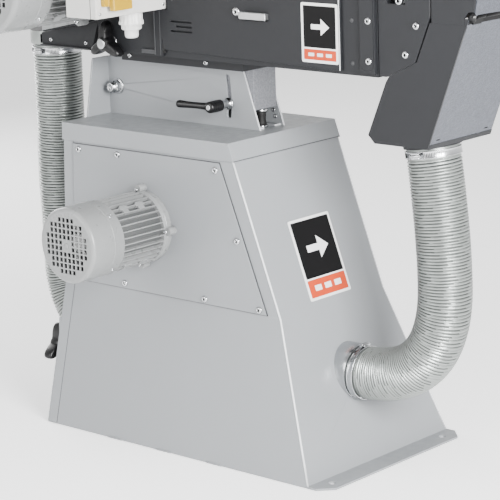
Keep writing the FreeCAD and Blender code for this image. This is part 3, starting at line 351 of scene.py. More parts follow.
class Mesh:
    """Collects geometry in millimetres, then becomes one named piece riding on a body."""

    def __init__(self, *keys):
        self.bm = bmesh.new()
        self.keys = list(keys)

    def slot(self, key):
        if key not in self.keys:
            self.keys.append(key)
        return self.keys.index(key)

    def loft(self, rings, key, cap=(True, True), smooth=True):
        """Skin over rings of points, each ring a closed loop."""
        index = self.slot(key)
        made = [[self.bm.verts.new(p * MM) for p in ring] for ring in rings]
        n = len(made[0])
        for a, b in zip(made, made[1:]):
            for i in range(n):
                face = self.bm.faces.new((a[i], a[(i + 1) % n], b[(i + 1) % n], b[i]))
                face.material_index, face.smooth = index, smooth
        for wanted, ring, back in ((cap[0], made[0], True), (cap[1], made[-1], False)):
            if wanted:
                face = self.bm.faces.new(list(reversed(ring)) if back else ring)
                face.material_index = index

    def lathe(self, origin, axis, profile, key, sides=32, cap=(True, True)):
        """Profile of (radius, height) pairs turned round the axis."""
        place = frame_on(Vector(origin), axis)
        rings = []
        for r, h in profile:
            rings.append([place @ Vector((r * math.cos(t), r * math.sin(t), h)) for t in turns(sides)])
        self.loft(rings, key, cap)

    def block(self, origin, axes, size, key, round_by=0.0, shrink=0.0):
        """Box centred on a point, sized along three axes; its edges along the third axis are rounded."""
        x, y, z = (Vector(a).normalized() for a in axes)
        hx, hy, hz = (s / 2 for s in size)
        r = min(round_by, hx * 0.98, hy * 0.98)
        outline = rounded(hx, hy, r)
        chamfer = min(shrink if shrink else r * 0.4, hz * 0.6)
        rings = []
        for h, inset in ((-hz, chamfer), (-hz + chamfer, 0), (hz - chamfer, 0), (hz, chamfer)):
            kx, ky = (hx - inset) / hx, (hy - inset) / hy
            rings.append([Vector(origin) + x * (a * kx) + y * (b * ky) + z * h for a, b in outline])
        self.loft(rings, key, smooth=False)

    def plate(self, place, outline, thick, key, chamfer=0.15):
        """Flat plate on a plane, outline in that plane."""
        cx = sum(p[0] for p in outline) / len(outline)
        cy = sum(p[1] for p in outline) / len(outline)
        rings = []
        for h, inset in ((0.0, 0.0), (thick - chamfer, 0.0), (thick, chamfer)):
            ring = []
            for a, b in outline:
                length = math.hypot(a - cx, b - cy)
                k = (length - inset) / length
                ring.append(place @ Vector((cx + (a - cx) * k, cy + (b - cy) * k, h)))
            rings.append(ring)
        self.loft(rings, key, smooth=False)

    def screw(self, point, normal, r=5.0, h=3.0, key="zinc"):
        """Domed button head with a hexagon socket."""
        place = frame_on(Vector(point), normal)
        sides = 24
        rings = []
        for rr, hh in ((r, 0), (r, 0.35 * h), (0.93 * r, 0.62 * h), (0.78 * r, 0.85 * h), (0.6 * r, h)):
            rings.append([place @ Vector((rr * math.cos(t), rr * math.sin(t), hh)) for t in turns(sides)])
        for depth, scale in ((1.0, 1.0), (0.35, 0.97)):
            ring = []
            for t in turns(sides):
                rr = 0.42 * r / math.cos(hexed(t)) * scale
                ring.append(place @ Vector((rr * math.cos(t), rr * math.sin(t), h * depth)))
            rings.append(ring)
        self.loft(rings, key, (False, False))
        # painted shade: the socket's floor is ink black
        index = self.slot("ink")
        face = self.bm.faces.new([self.bm.verts.new(p * MM) for p in rings[-1]])
        face.material_index = index

    def done(self, name, body, replaces=(), bevel=0.0, subsurf=0):
        """Makes the object; without a body it is tied to no body, as the ducts are."""
        bmesh.ops.recalc_face_normals(self.bm, faces=self.bm.faces)
        data = bpy.data.meshes.new(name)
        self.bm.to_mesh(data)
        self.bm.free()
        for key in self.keys:
            data.materials.append(M[key])
        obj = bpy.data.objects.new(name, data)
        bpy.context.scene.collection.objects.link(obj)
        if bevel:
            mod = obj.modifiers.new("edge", "BEVEL")
            mod.width, mod.segments = bevel * MM, BEVEL_STEPS
            mod.limit_method, mod.angle_limit = "ANGLE", PIECE_BEVEL_ANGLE
        if subsurf:
            mod = obj.modifiers.new("smooth", "SUBSURF")
            mod.levels = mod.render_levels = subsurf
        if body:
            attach(obj, body)
        if replaces:
            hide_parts(*replaces)
        return obj


# ---- corrugated ducts ----
def route(points, samples=40):
    """Points along the smooth NURBS line that the given points control."""
    curve = bpy.data.curves.new("route", "CURVE")
    curve.dimensions = "3D"
    spline = curve.splines.new("NURBS")
    spline.points.add(len(points) - 1)
    for p, (x, z) in zip(spline.points, points):
        p.co = (x * MM, 0, z * MM, 1)
    spline.order_u = 3
    spline.use_endpoint_u = True
    curve.resolution_u = samples
    obj = bpy.data.objects.new("route", curve)
    mesh = bpy.data.meshes.new_from_object(obj)
    line = [v.co.copy() for v in mesh.vertices]
    bpy.data.objects.remove(obj)
    bpy.data.meshes.remove(mesh)
    return line


def even(line, step):
    """The same line, with points at an even distance."""
    out, left = [line[0]], step
    for a, b in zip(line, line[1:]):
        length = (b - a).length
        at = left
        while at <= length:
            out.append(a.lerp(b, at / length))
            at += step
        left = at - length
    return out


DUCT_PITCH, DUCT_STEPS, DUCT_SIDES = 5.6, 6, 64
DUCT_MEAN, DUCT_DEPTH, DUCT_LARGEST = 47.1, 2.2, 49.33
DUCT_WALL = 1.2


def duct(name, node, points, seed, smooth_ends):
    """Spiral corrugation, slightly uneven, with smooth cuffs; it bends between pedestal and head. Faces deep
    in the valleys take a darker copy of the metal as painted shade.
    """
    pitch, per, sides = DUCT_PITCH, DUCT_STEPS, DUCT_SIDES
    line = even(route(points), pitch / per * MM)
    total = len(line)
    mesh = Mesh("duct", "duct_painted_shade")
    rings, depths = [], []
    for i, point in enumerate(line):
        ahead, behind = line[min(i + 1, total - 1)], line[max(i - 1, 0)]
        along = (ahead - behind).normalized()
        out = along.cross(Y).normalized()
        ring, low = [], []
        for k in range(sides):
            t = 2 * math.pi * k / sides
            away = out * math.cos(t) + Y * math.sin(t)
            s = i / per
            turn = s + k / sides + 0.35 * noise.noise(Vector((s * 0.31, seed, 0)))
            wave = 1 - 2 * math.exp(-(((turn % 1.0) - 0.5) / 0.17) ** 2)
            dent = noise.noise(Vector((away.x * 1.4 + seed, away.y * 1.4, s * 0.09)))
            flat = min(1.0, max(0.0, (i * pitch / per - smooth_ends[0]) / 6.0),
                       max(0.0, ((total - 1 - i) * pitch / per - smooth_ends[1]) / 6.0))
            r = DUCT_MEAN + flat * DUCT_DEPTH * wave + 0.45 * dent * flat
            low.append(wave * flat)
            ring.append(point / MM + away * min(r, DUCT_LARGEST))
        rings.append(ring)
        depths.append(low)
    inner = [[p + (c / MM - p).normalized() * DUCT_WALL for p in rings[j]]
             for j, c in ((0, line[0]), (-1, line[-1]))]
    mesh.loft([inner[0]] + rings + [inner[1]], "duct", (False, False))
    # painted shade: faces whose corners sit low in the wave take the darker valley metal
    mesh.bm.faces.ensure_lookup_table()
    for j in range(1, len(rings)):
        for k in range(sides):
            n = (k + 1) % sides
            level = depths[j - 1][k] + depths[j][k] + depths[j - 1][n] + depths[j][n]
            if level < -0.4:
                mesh.bm.faces[j * sides + k].material_index = 1
    obj = mesh.done(name, None, (node,))
    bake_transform(obj)


FRONT = [(300.5, 163), (400, 163), (495, 258), (497, 440), (473.4, 607)]
REAR = [(-478, 725), (-478, 585), (-484, 455), (-478, 325), (-480, 208), (-398, 121), (-300, 121)]
duct("duct_front", "front_hose", FRONT, 3.1, (16, 18))
duct("duct_rear", "rear_hose", list(reversed(REAR)), 8.4, (14, 16))


# ---- outer faces of the pedestal's walls ----
TOP, LEAN_FROM = 600, 285


def front_x(z):
    return 120 + 220 * (TOP - z) / TOP


def rear_x(z):
    return -310 - 31 * (TOP - z) / TOP


def side_y(z):
    return 150 + max(0, 58 * (LEAN_FROM - z) / LEAN_FROM)


# ---- fasteners ----

def hexagon(mesh, origin, axis, across, h, key, chamfer=1.2):
    """Hexagon nut or head with turned-down corners."""
    place = frame_on(Vector(origin), axis)
    rings = []
    for height, limit in ((0, 1.0), (h * 0.12, 1.16), (h - chamfer, 1.16), (h, 0.97)):
        ring = []
        for t in turns(48):
            r = min(across / 2 / math.cos(hexed(t)), across / 2 * limit)
            ring.append(place @ Vector((r * math.cos(t), r * math.sin(t), height)))
        rings.append(ring)
    mesh.loft(rings, key, smooth=False)


def screws(name, body, node, places):
    mesh = Mesh("zinc", "ink")
    for point, normal, r, h in places:
        mesh.screw(point, normal, r, h)
    mesh.done(name, body, (node,))


PANEL = [(-269, 551), (-163, 551), (90, 547), (138, 420), (187, 297), (51, 298), (-159, 299)]
base = [((x, -153, z), -Y, 6.6, 3.6) for x, z in PANEL]
base += [((x, y, 604), Z, 5.2, 3.2) for x in (-250, -100, 40) for y in (-11, 35)]
base += [((68, 44, 616), -Y, 4.0, 2.4), ((64, 44, 628), -Y, 4.0, 2.4)]
screws("screws_base", "pedestal", "base_screws", base)

HEAD_SIDE = -91
head = [((411, HEAD_SIDE - 6, z), -Y, 6.4, 3.6) for z in (834, 764, 960, 1060)]
head += [((x, HEAD_SIDE, z), -Y, 6.6, 3.8) for x, z in ((511, 831), (487, 780))]
head += [((475, HEAD_SIDE, 872), -Y, 7.5, 4.0), ((106, HEAD_SIDE - 6, 833), -Y, 8.0, 5.0)]
head += [((x, HEAD_SIDE - 6, z), -Y, 5.0, 3.0) for x, z in ((-50, 1020), (320, 1050))]
head += [((x, -60, 742), -Y, 4.5, 3.0) for x in (-430, -330)]
head += [((x, -60, 726), -Y, 5.0, 3.0) for x in (-210, -10)]
head += [((x, -96, z), -Y, 6.0, 4.0) for x, z in ((-404, 782), (-196, 1000), (-400, 985))]
head += [((-76, y, z), X, 3.5, 2.0) for y in (-266, -100) for z in (837, 981)]
screws("screws_head", "head", "head_screws", head)


# ---- labels: a plain plate with an arrow, no mark of any maker ----
def label(name, body, node, place, w, h, thick):
    """Bordered plate: dark field with a plain arrow, coloured foot with three bars."""
    mesh = Mesh("paper", "ink", "orange")

    def rect(cx, cy, half_w, half_h, base_h, t, key, r):
        mesh.plate(place @ Matrix.Translation((0, 0, base_h)), rounded(half_w, half_h, r, cx, cy),
                   t, key, 0.08)

    border, between, print_h, mark_h = 5, 3, 0.12, 0.08
    field_h = h * 0.70
    foot_h = h - 2 * border - between - field_h
    field_y, foot_y = h / 2 - border - field_h / 2, -h / 2 + border + foot_h / 2
    rect(0, 0, w / 2, h / 2, 0, thick, "paper", 3.5)
    rect(0, field_y, w / 2 - border, field_h / 2, thick, print_h, "ink", 1.5)
    rect(0, foot_y, w / 2 - border, foot_h / 2, thick, print_h, "orange", 1.5)
    k = min(w, field_h) / 100
    arrow = ((-26, -6), (4, -6), (4, -20), (30, 0), (4, 20), (4, 6), (-26, 6))
    outline = [(a * k, field_y + b * k) for a, b in arrow]
    mesh.plate(place @ Matrix.Translation((0, 0, thick + print_h)), outline, mark_h, "paper", 0.02)
    for i in (-1, 0, 1):
        rect(i * w * 0.24, foot_y, w * 0.08, foot_h * 0.16, thick + print_h, mark_h, "paper", 0.8)
    mesh.done(name, body, (node,))


FRONT_NORMAL = Vector((TOP, 0, 220)).normalized()
LABEL_Z = 370.5
label("label_front", "pedestal", "front_label",
      frame_on(Vector((front_x(LABEL_Z), 0, LABEL_Z)), FRONT_NORMAL), 116, 154, 1.2)
label("label_head", "head", "head_label", frame_on(Vector((302, -97, 806)), -Y), 84, 106, 0.8)


# ---- three-lobe knobs ----
def lobed_knob(name, body, node, origin, axis, r, h):
    """Moulded three-lobe knob with concave flanks and a steel insert in its centre."""
    mesh = Mesh("black", "zinc")
    place = frame_on(Vector(origin), axis)
    rings = []
    levels = ((0.0, 0.86, 0.8), (0.06, 0.97, 0.9), (0.2, 1.0, 1.0), (0.62, 1.0, 1.0), (0.82, 0.97, 0.96),
              (0.94, 0.88, 0.86), (1.0, 0.74, 0.7))
    for level, tip, waist in levels:
        ring = []
        for t in turns(72):
            lobe = ((1 + math.cos(3 * (t - math.pi / 2))) / 2) ** 3.0
            radius = r * (0.36 * waist + (tip - 0.36 * waist) * lobe)
            fall = 0.10 * h * lobe * level
            ring.append(place @ Vector((radius * math.cos(t), radius * math.sin(t), h * level - fall)))
        rings.append(ring)
    mesh.loft(rings, "black")
    collar = ((0.30 * r, 0), (0.30 * r, 0.13 * h), (0.27 * r, 0.145 * h))
    insert = ((0.235 * r, 0.0), (0.235 * r, 1.2), (0.20 * r, 2.0), (0.08 * r, 2.3))
    foot = ((0.30 * r, 0), (0.32 * r, 1.0), (0.32 * r, 3.6))
    for height, profile, key in ((0.86 * h, collar, "black"), (h, insert, "zinc"), (-3.5, foot, "zinc")):
        mesh.lathe(place @ Vector((0, 0, height)), axis, profile, key, 32)
    mesh.done(name, body, (node,), subsurf=1)


lobed_knob("knob_hopper", "hopper_knob", "hopper_knob", (-225, -95.2, 755), -Y, 44, 26)
for side, y in (("near", -150), ("far", 150)):
    lobed_knob("knob_hatch_" + side, side + "_hatch_knob", "hatch_knob_" + side,
               (rear_x(146) - 11, y, 146), -X, 44, 27)


# ---- clamp lever ----
def clamp_lever():
    """Steel washer and neck, ribbed plastic hub, and a waisted handle."""
    mesh = Mesh("black", "zinc")
    at = Vector((13, -24, 646))
    mesh.lathe(at, -Y, ((5, -6), (5, 6)), "zinc", 24)
    mesh.lathe(at - Y, -Y,
               ((11, 0), (11, 2.2), (8, 2.4), (8, 15), (8.6, 16), (8.6, 24), (8, 25)), "zinc", 36)
    ribs = [(9.0, 24)]
    for k in range(5):
        ribs += [(10.9, 26 + 4.6 * k), (11.3, 28 + 4.6 * k), (10.4, 29.6 + 4.6 * k)]
    mesh.lathe(at, -Y, ribs + [(11.2, 51), (10.8, 56), (9.0, 58.6), (5.5, 59.4)], "black", 40)
    mesh.lathe(at - Y * 58.6, -Y, ((5.2, 0), (5.2, 0.9), (4.4, 1.3)), "zinc", 24)
    way = Vector((-0.9697, -0.2418, 0.035)).normalized()
    handle = ((8.2, 4), (7.2, 12), (6.3, 24), (6.1, 40), (6.4, 54), (7.1, 65), (7.4, 71), (6.6, 75),
              (4.4, 77.0), (1.5, 77.5))
    mesh.lathe(at - Y * 46, way, handle, "black", 32)
    mesh.done("lever_clamp", "clamp_lever", ("clamp_lever",))


clamp_lever()


# ---- pivot bolt, buffer ----
def pivot_and_buffer():
    mesh = Mesh("zinc", "ink")
    near, far = Vector((-282, -24, 656)), Vector((-282, 48, 656))
    mesh.lathe(near, -Y, ((15, 0), (15.2, 0.6), (15.2, 3.2), (14.4, 3.8), (9, 3.9)), "zinc", 48)
    hexagon(mesh, near - Y * 3.8, -Y, 23, 12, "zinc")
    mesh.lathe(near - Y * 15.6, -Y,
               ((11.3, 0), (11.3, 0.8), (9.2, 1.0), (9.2, 7.5), (8.4, 8.6), (5, 8.8), (4.6, 5.5)), "zinc", 36)
    mesh.lathe(far, Y, ((14, 0), (14, 2.6), (13, 3)), "zinc", 40)
    hexagon(mesh, far + Y * 3, Y, 23, 12, "zinc")
    mesh.lathe(near, Y, ((8, 0), (8, 72)), "zinc", 32)
    mesh.done("pivot_bolt_parts", "pedestal", ("pivot_bolt",))
    mesh = Mesh("rubber", "zinc")
    mesh.lathe((60, 12, TOP), Z, ((13, 0), (13, 3.4), (12.4, 4)), "zinc", 36)
    mesh.lathe((60, 12, 604), Z, ((10.6, 0), (9.6, 4), (8.8, 12), (9.2, 20), (10.4, 26)), "rubber", 36)
    mesh.lathe((60, 12, 630), Z, ((12.4, 0), (13, 0.8), (13, 4.4), (12, 5.4)), "zinc", 36)
    mesh.done("buffer", "pedestal", ("keel_buffer",))


pivot_and_buffer()


# ---- hose clamps ----
def hose_clamp(mesh, centre, axis, top, r=49.35, width=13.0):
    """Rolled band whose slots are flat ink marks, painted shade, and a worm housing with its screw on the side
    that top points to.
    """
    centre, axis, top = Vector(centre), Vector(axis).normalized(), Vector(top).normalized()
    side = axis.cross(top)
    half = width / 2
    band = ((r, 0), (r + 1.6, 0.0), (r + 1.9, 0.7), (r + 1.3, 1.6), (r + 1.1, 2.0), (r + 1.1, width - 2.0),
            (r + 1.3, width - 1.6), (r + 1.9, width - 0.7), (r + 1.6, width), (r, width))
    mesh.lathe(centre - axis * half, axis, band, "zinc", 96, (False, False))
    # painted shade: the slots are drawn as flat ink marks on the band
    for k in range(-16, 17):
        if abs(k) > 3:
            t = math.radians(3.3 * k)
            out = top * math.cos(t) + side * math.sin(t)
            along = out.cross(axis)
            mesh.block(centre + out * (r + 1.15), (along, axis, out), (1.1, width - 5.5, 0.35), "ink")
    mesh.block(centre + top * (r + 3.4), (side, axis, top), (17, width - 1.5, 5.0), "zinc", 1.4)
    mesh.lathe(centre + top * (r + 4.6) - side * 10.5, side,
               ((2.6, 0), (2.9, 0.6), (2.9, 19), (2.4, 20)), "zinc", 20)
    hexagon(mesh, centre + top * (r + 4.6) + side * 9.0, side, 6.8, 4.6, "zinc", 0.6)
    # painted shade: an ink bar for the screw's driver slot
    mesh.block(centre + top * (r + 4.6) + side * 13.5, (axis, side, top), (5.4, 0.5, 0.9), "ink")


def clamps():
    mesh = Mesh("zinc", "ink")
    hose_clamp(mesh, (310, 0, 163), X, Z)
    mesh.done("clamp_base", "pedestal", ("base_hose_clamps",))
    mesh = Mesh("zinc", "ink")
    lean = Vector((473.4 - 497, 0, 607 - 440)).normalized()
    hose_clamp(mesh, Vector((473.4, 0, 607)) - lean * 11, lean, -Y)
    hose_clamp(mesh, (-478, 0, 714.5), Z, -Y)
    mesh.done("clamp_head", "head", ("head_hose_clamps",))


clamps()


# ---- details of the two motors ----
def motor_details(prefix, x, z, y0, r, shield, body_len, cowl_len, box_dir, box_size, box_y, node):
    """Cast pads on the stator, tie bolts, cowl screws, cowl seam, shaft hub and terminal box."""
    body = "head" if prefix == "drive" else "pedestal"
    y1, y2, y3 = y0 - shield, y0 - shield - body_len, y0 - shield - body_len - cowl_len
    mesh = Mesh("motor", "zinc", "ink")
    for angle in (52, 128, 232, 308):
        out = Vector((math.cos(math.radians(angle)), 0, math.sin(math.radians(angle))))
        along = out.cross(Y)
        for share in (0.30, 0.66):
            at = Vector((x, y1 - body_len * share, z)) + out * (r - 4.2)
            if abs(out.dot(box_dir)) < 0.9:
                mesh.block(at, (along, Y, out), (r * 0.26, r * 0.20, 6.0), "motor", 1.5)
                mesh.block(at + along * r * 0.04, (along, Y, out), (r * 0.09, r * 0.30, 7.2), "motor", 0.6)
    for t in turns(4):
        out = Vector((math.cos(t), 0, math.sin(t)))
        mesh.screw(Vector((x, y1 - 0.3, z)) + out * (r + 1.5), -Y, r * 0.055, r * 0.04)
    for k in range(4):
        t = math.radians(45 + 90 * k)
        out = Vector((math.cos(t), 0, math.sin(t)))
        mesh.screw(Vector((x, y2 - cowl_len * 0.10, z)) + out * (r - 0.2), out, r * 0.045, r * 0.025)
    mesh.lathe((x, y3 + cowl_len * 0.80, z), -Y,
               ((r + 0.05, 0), (r + 0.45, 0.4), (r + 0.45, 2.0), (r + 0.05, 2.4)), "motor", 96, (False, False))
    mesh.lathe((x, y3, z), -Y, ((r * 0.075, 0), (r * 0.075, 0.8), (r * 0.05, 1.1)), "motor", 24)
    mesh.lathe((x, y0 - shield * 0.5, z), -Y,
               ((r - 1.9, 0), (r - 0.9, 0.8), (r - 0.9, 2.6), (r - 1.9, 3.4)), "motor", 96, (False, False))
    mesh.done(prefix + "_details", body)
    box = Mesh("motor", "zinc", "ink", "black")
    side = box_dir.cross(Y)
    w, l, low, high = box_size
    base = Vector((x, box_y, z))
    box.block(base + box_dir * ((low + high) / 2), (side, Y, box_dir), (w, l, high - low), "motor", 5, 1.0)
    box.block(base + box_dir * (high + 0.4), (side, Y, box_dir), (w + 1.6, l + 1.6, 0.8), "black", 5, 0.2)
    box.block(base + box_dir * (high + 3.2), (side, Y, box_dir), (w + 5, l + 5, 5.0), "motor", 6, 1.4)
    for a in (-1, 1):
        for b in (-1, 1):
            corner = side * (a * (w / 2 - 5)) + Y * (b * (l / 2 - 5))
            box.screw(base + box_dir * (high + 5.6) + corner, box_dir, 2.8, 1.8)
    box.lathe(base + box_dir * ((low + high) / 2) - Y * (l / 2), -Y,
              ((8.5, 0), (8.5, 3), (10, 3.2), (10, 8), (9, 9), (7, 9.2), (7, 12), (5, 13)), "black", 24)
    box.done(prefix + "_terminal_box_piece", body, (node,))


FAN_X, FAN_Z = -96, 421
DRIVE_X, DRIVE_Z = -290, 885
motor_details("fan", FAN_X, FAN_Z, -153, 71, 20, 115, 72, -X, (60, 70, 60.5, 85), -236, "fan_terminal_box")
motor_details("drive", DRIVE_X, DRIVE_Z, -96, 90, 24, 148, 86, Z, (100, 100, 78, 124), -182,
              "drive_terminal_box")


# ---- switch box fittings ----
BUTTONS_Y, START_Z, STOP_Z = -226, 934, 886


def switch_fittings():
    """Lid seam and plugs, yellow collar, both buttons, and the fluted cable gland."""
    mesh = Mesh("ivory", "ink")
    mesh.block((-90.2, -183, 909), (Y, Z, X), (185.2, 163.2, 0.7), "ink", 2.0)
    for y in (-262, -104):
        for z in (841, 977):
            mesh.lathe((-76, y, z), X, ((5.2, 0), (5.2, 0.9), (4.6, 1.3)), "ivory", 24)
    mesh.done("switch_seam", "head")
    mesh = Mesh("yellow")
    mesh.block((-57.5, BUTTONS_Y, 901), (Y, Z, X), (42, 112, 5.6), "yellow", 7, 1.6)
    mesh.lathe((-56, BUTTONS_Y, STOP_Z), X, ((22.5, 0), (22.5, 1.2), (21.2, 2.2)), "yellow", 40)
    mesh.done("switch_collar_step", "head")
    mesh = Mesh("green")
    mesh.lathe((-88, BUTTONS_Y, START_Z), X,
               ((8, 8), (8, 38), (11, 38.2), (11.2, 42), (10.2, 43), (4, 43.4)), "green", 36)
    mesh.done("button_start", "start_button", ("start_button",))
    mesh = Mesh("red")
    mesh.lathe((-88, BUTTONS_Y, STOP_Z), X,
               ((8, 8), (8, 39), (15, 40), (18.4, 42), (19, 45), (18.2, 48), (15, 49.6), (8, 50)), "red", 48)
    mesh.done("button_stop", "stop_button", ("stop_button",))
    mesh = Mesh("white", "ink")
    at = Vector((-115, -147, 828))
    place = frame_on(at, -Z, (1, 0, 0))
    profile = ((22.5, 0, 0.0), (22.5, 1, 0.5), (22.0, 3, 0.8), (22.0, 17, 0.8), (23.6, 20.0, 1.3),
               (23.6, 24.5, 1.3), (21.0, 25.5, 0.6), (19.4, 26, 0.5), (19.2, 33, 0.5), (17.0, 35, 0.2),
               (13.2, 36, 0.0), (13.0, 46, 0.0), (11.0, 50, 0.0), (8.0, 51, 0.0), (7.4, 48, 0.0))
    flutes = 16
    rings = []
    for r, h, depth in profile:
        ring = []
        for t in turns(96):
            rr = r - depth * (0.5 + 0.5 * math.cos(flutes * t))
            ring.append(place @ Vector((rr * math.cos(t), rr * math.sin(t), h)))
        rings.append(ring)
    mesh.loft(rings, "white", (True, False))
    mesh.lathe(at - Z * 47.5, -Z, ((7.4, 0), (7.0, 0.4)), "ink", 24)
    mesh.done("gland", "head", ("cable_gland",))


switch_fittings()


# ---- folds, seams and trims of the pedestal ----
def strip(mesh, points, normal, width_dir, width, thick, key):
    """Flat strip along a polyline, standing on a face."""
    n, w = Vector(normal).normalized(), Vector(width_dir)
    rings = []
    for p in points:
        p = Vector(p)
        rings.append([p, p + w * width, p + w * width + n * thick, p + n * thick])
    mesh.loft(rings, key, smooth=False)


LID_LOW = 566


def pedestal_trims():
    bends = (2, LEAN_FROM, LID_LOW)
    mesh = Mesh("coat")
    for s in (-1, 1):
        pts = [(rear_x(z), s * side_y(z), z) for z in bends]
        strip(mesh, pts, (0, s, 0), X, 25, 0.8, "coat")
    mesh.done("rear_folds", "pedestal", bevel=0.25)
    # painted highlight: light-coated tubes along the front corners stand in for the bright rounded edges
    mesh = Mesh("edge")
    for s in (-1, 1):
        rings = []
        for z in (4, 60, 120, 180, 240, LEAN_FROM, 340, 400, 460, 520, LID_LOW):
            c = Vector((front_x(z) - 1.2, s * side_y(z) - s * 1.2, z))
            rings.append([c + Vector((2.0 * math.cos(t), 2.0 * math.sin(t), 0)) for t in turns(12)])
        mesh.loft(rings, "edge")
    mesh.done("front_edges", "pedestal")
    # painted shadow: dark strips round the motor panel and along the lid's lower front edge stand in for the
    # shadows of their steps
    mesh = Mesh("dark_line")
    panel = [(-298, 289), (204, 289), (99, 561), (-285, 561)]
    for (x0, z0), (x1, z1) in zip(panel, panel[1:] + panel[:1]):
        along = Vector((x1 - x0, 0, z1 - z0)).normalized()
        out = Vector((along.z, 0, -along.x))
        strip(mesh, [Vector((x0, -150, z0)) - along, Vector((x1, -150, z1)) + along],
              (0, -1, 0), out, 1.1, 2.0, "dark_line")
    strip(mesh, [(135.45, -152.5, 566.6), (135.45, 152.5, 566.6)],
          (0.939, 0, 0.344), (-0.344, 0, 0.939), 1.3, 0.3, "dark_line")
    mesh.done("panel_and_lid_painted_shadow_lines", "pedestal")
    # painted shade: a thin dark strip along the edge of each rear fold, where the groove is
    mesh = Mesh("dark_line")
    for s in (-1, 1):
        pts = [(rear_x(z) + 25, s * side_y(z), z) for z in bends]
        strip(mesh, pts, (0, s, 0), X, 0.8, 0.5, "dark_line")
    mesh.done("fold_painted_shade_lines", "pedestal")
    mesh = Mesh("coat")
    for x in (-150, -20, 110):
        for s in (-1, 1):
            y = s * 208
            rings = []
            for k in range(7):
                c = Vector((x - 18 + 6 * k, y + s * 0.2, 1.2))
                r = 1.6 + 0.35 * (k % 2)
                rings.append([c + Vector((0, r * math.cos(t), r * math.sin(t))) for t in turns(8)])
            mesh.loft(rings, "coat")
    mesh.done("floor_welds", "pedestal")


pedestal_trims()


# ---- trims of the head ----
FLAP_PIN_X, FLAP_PIN_Z = 627, 852
CHUTE_FOOT = Vector((532, 0, 619))
CHUTE_UP, CHUTE_OUT = Vector((90, 0, 230)).normalized(), Vector((230, 0, -90)).normalized()


def cover_trims():
    """Trims of the covers and the frame on the near side of the head."""
    # painted highlight: a strip in the light coat along the cover's folded edge
    mesh = Mesh("edge")
    strip(mesh, [(345.6, -97.0, 743), (345.6, -97.0, 1077)], (0, -1, 0), X, 1.6, 0.9, "edge")
    mesh.done("cover_edge", "head")
    mesh = Mesh("alloy", "ink")
    mesh.block((151, -104.6, 828), (X, Z, -Y), (64, 13.4, 6.2), "alloy", 2.5, 1.0)
    # painted shadow: an ink bar just under the handle bar
    mesh.block((151, -100, 820.5), (X, Z, -Y), (58, 2.6, 5.0), "ink", 0.6, 0.2)
    for x in (124, 178):
        mesh.block((x, -100, 828), (X, Z, -Y), (9, 12, 6), "alloy", 1.5, 0.5)
    mesh.done("cover_handle", "head")
    mesh = Mesh("dark", "dark_line")
    mesh.block((-96, -94.2, 786), (X, Z, -Y), (20, 96, 6.0), "dark", 0.8, 0.5)
    mesh.block((-103.5, -97.8, 786), (X, Z, -Y), (2.4, 92, 1.2), "dark_line", 0.5, 0.2)
    mesh.block((-89.5, -97.8, 786), (X, Z, -Y), (1.6, 92, 1.0), "dark_line", 0.4, 0.2)
    mesh.block((-125, -92.6, 744), (X, Z, -Y), (38, 8, 3.0), "dark_line", 0.6, 0.3)
    mesh.done("frame_post", "head")
    mesh = Mesh("dark", "ink")
    half, high = 14.5, 160
    outline = [(-half, high), (half, high)] + [(half * math.cos(t), -high + half * math.sin(t))
                                               for t in (-math.pi * k / 10 for k in range(11))]
    mesh.plate(frame_on(Vector((407.5, -97, 922)), -Y), [(-x, y) for x, y in reversed(outline)],
               1.2, "dark", 0.3)
    mesh.done("lock_strip", "head")
    mesh = Mesh("dark_line")
    strip(mesh, [(-457, -60, 729), (-314, -60, 729)], (0, -1, 0), Z, 3.0, 6.5, "dark_line")
    for z in (757, 832):
        mesh.lathe((370, -91, z), -Y, ((4.0, 0), (3.4, 0.5), (1.5, 0.8)), "dark_line", 20)
    mesh.done("folded_flanges", "head", bevel=0.25)


def chute_trims():
    """Rim, seam and bead of the spark chute, and the cover's seal."""
    foot, up, out = CHUTE_FOOT, CHUTE_UP, CHUTE_OUT
    mesh = Mesh("dark", "ink")
    strip(mesh, [foot - Y * 91, foot + Y * 91], out, up, 9, 0.7, "dark")
    strip(mesh, [foot - Y * 90 + up * 237, foot + Y * 90 + up * 237], out, up, 8.5, 0.7, "ink")
    for y in (-70, 70):
        mesh.block(foot + Y * y + up * 16 + out * 0.2, (Y, up, out), (9, 1.8, 0.6), "ink")
    mesh.done("chute_rim", "head")
    mesh = Mesh("dark_line")
    rings = []
    for share in (0.0, 0.25, 0.5, 0.75, 0.94):
        c = foot + up * (247 * share) - Y * 90.4 - out * 0.5
        rings.append([c + X * (1.1 * math.cos(t)) + Y * (1.1 * math.sin(t)) for t in turns(10)])
    mesh.loft(rings, "dark_line")
    mesh.done("chute_bead", "head")
    mesh = Mesh("rubber")
    strip(mesh, [(-84.6, -91.2, 744), (-84.6, -91.2, 828)], (0, -1, 0), X, 3.4, 5.2, "rubber")
    mesh.done("cover_seal", "head")


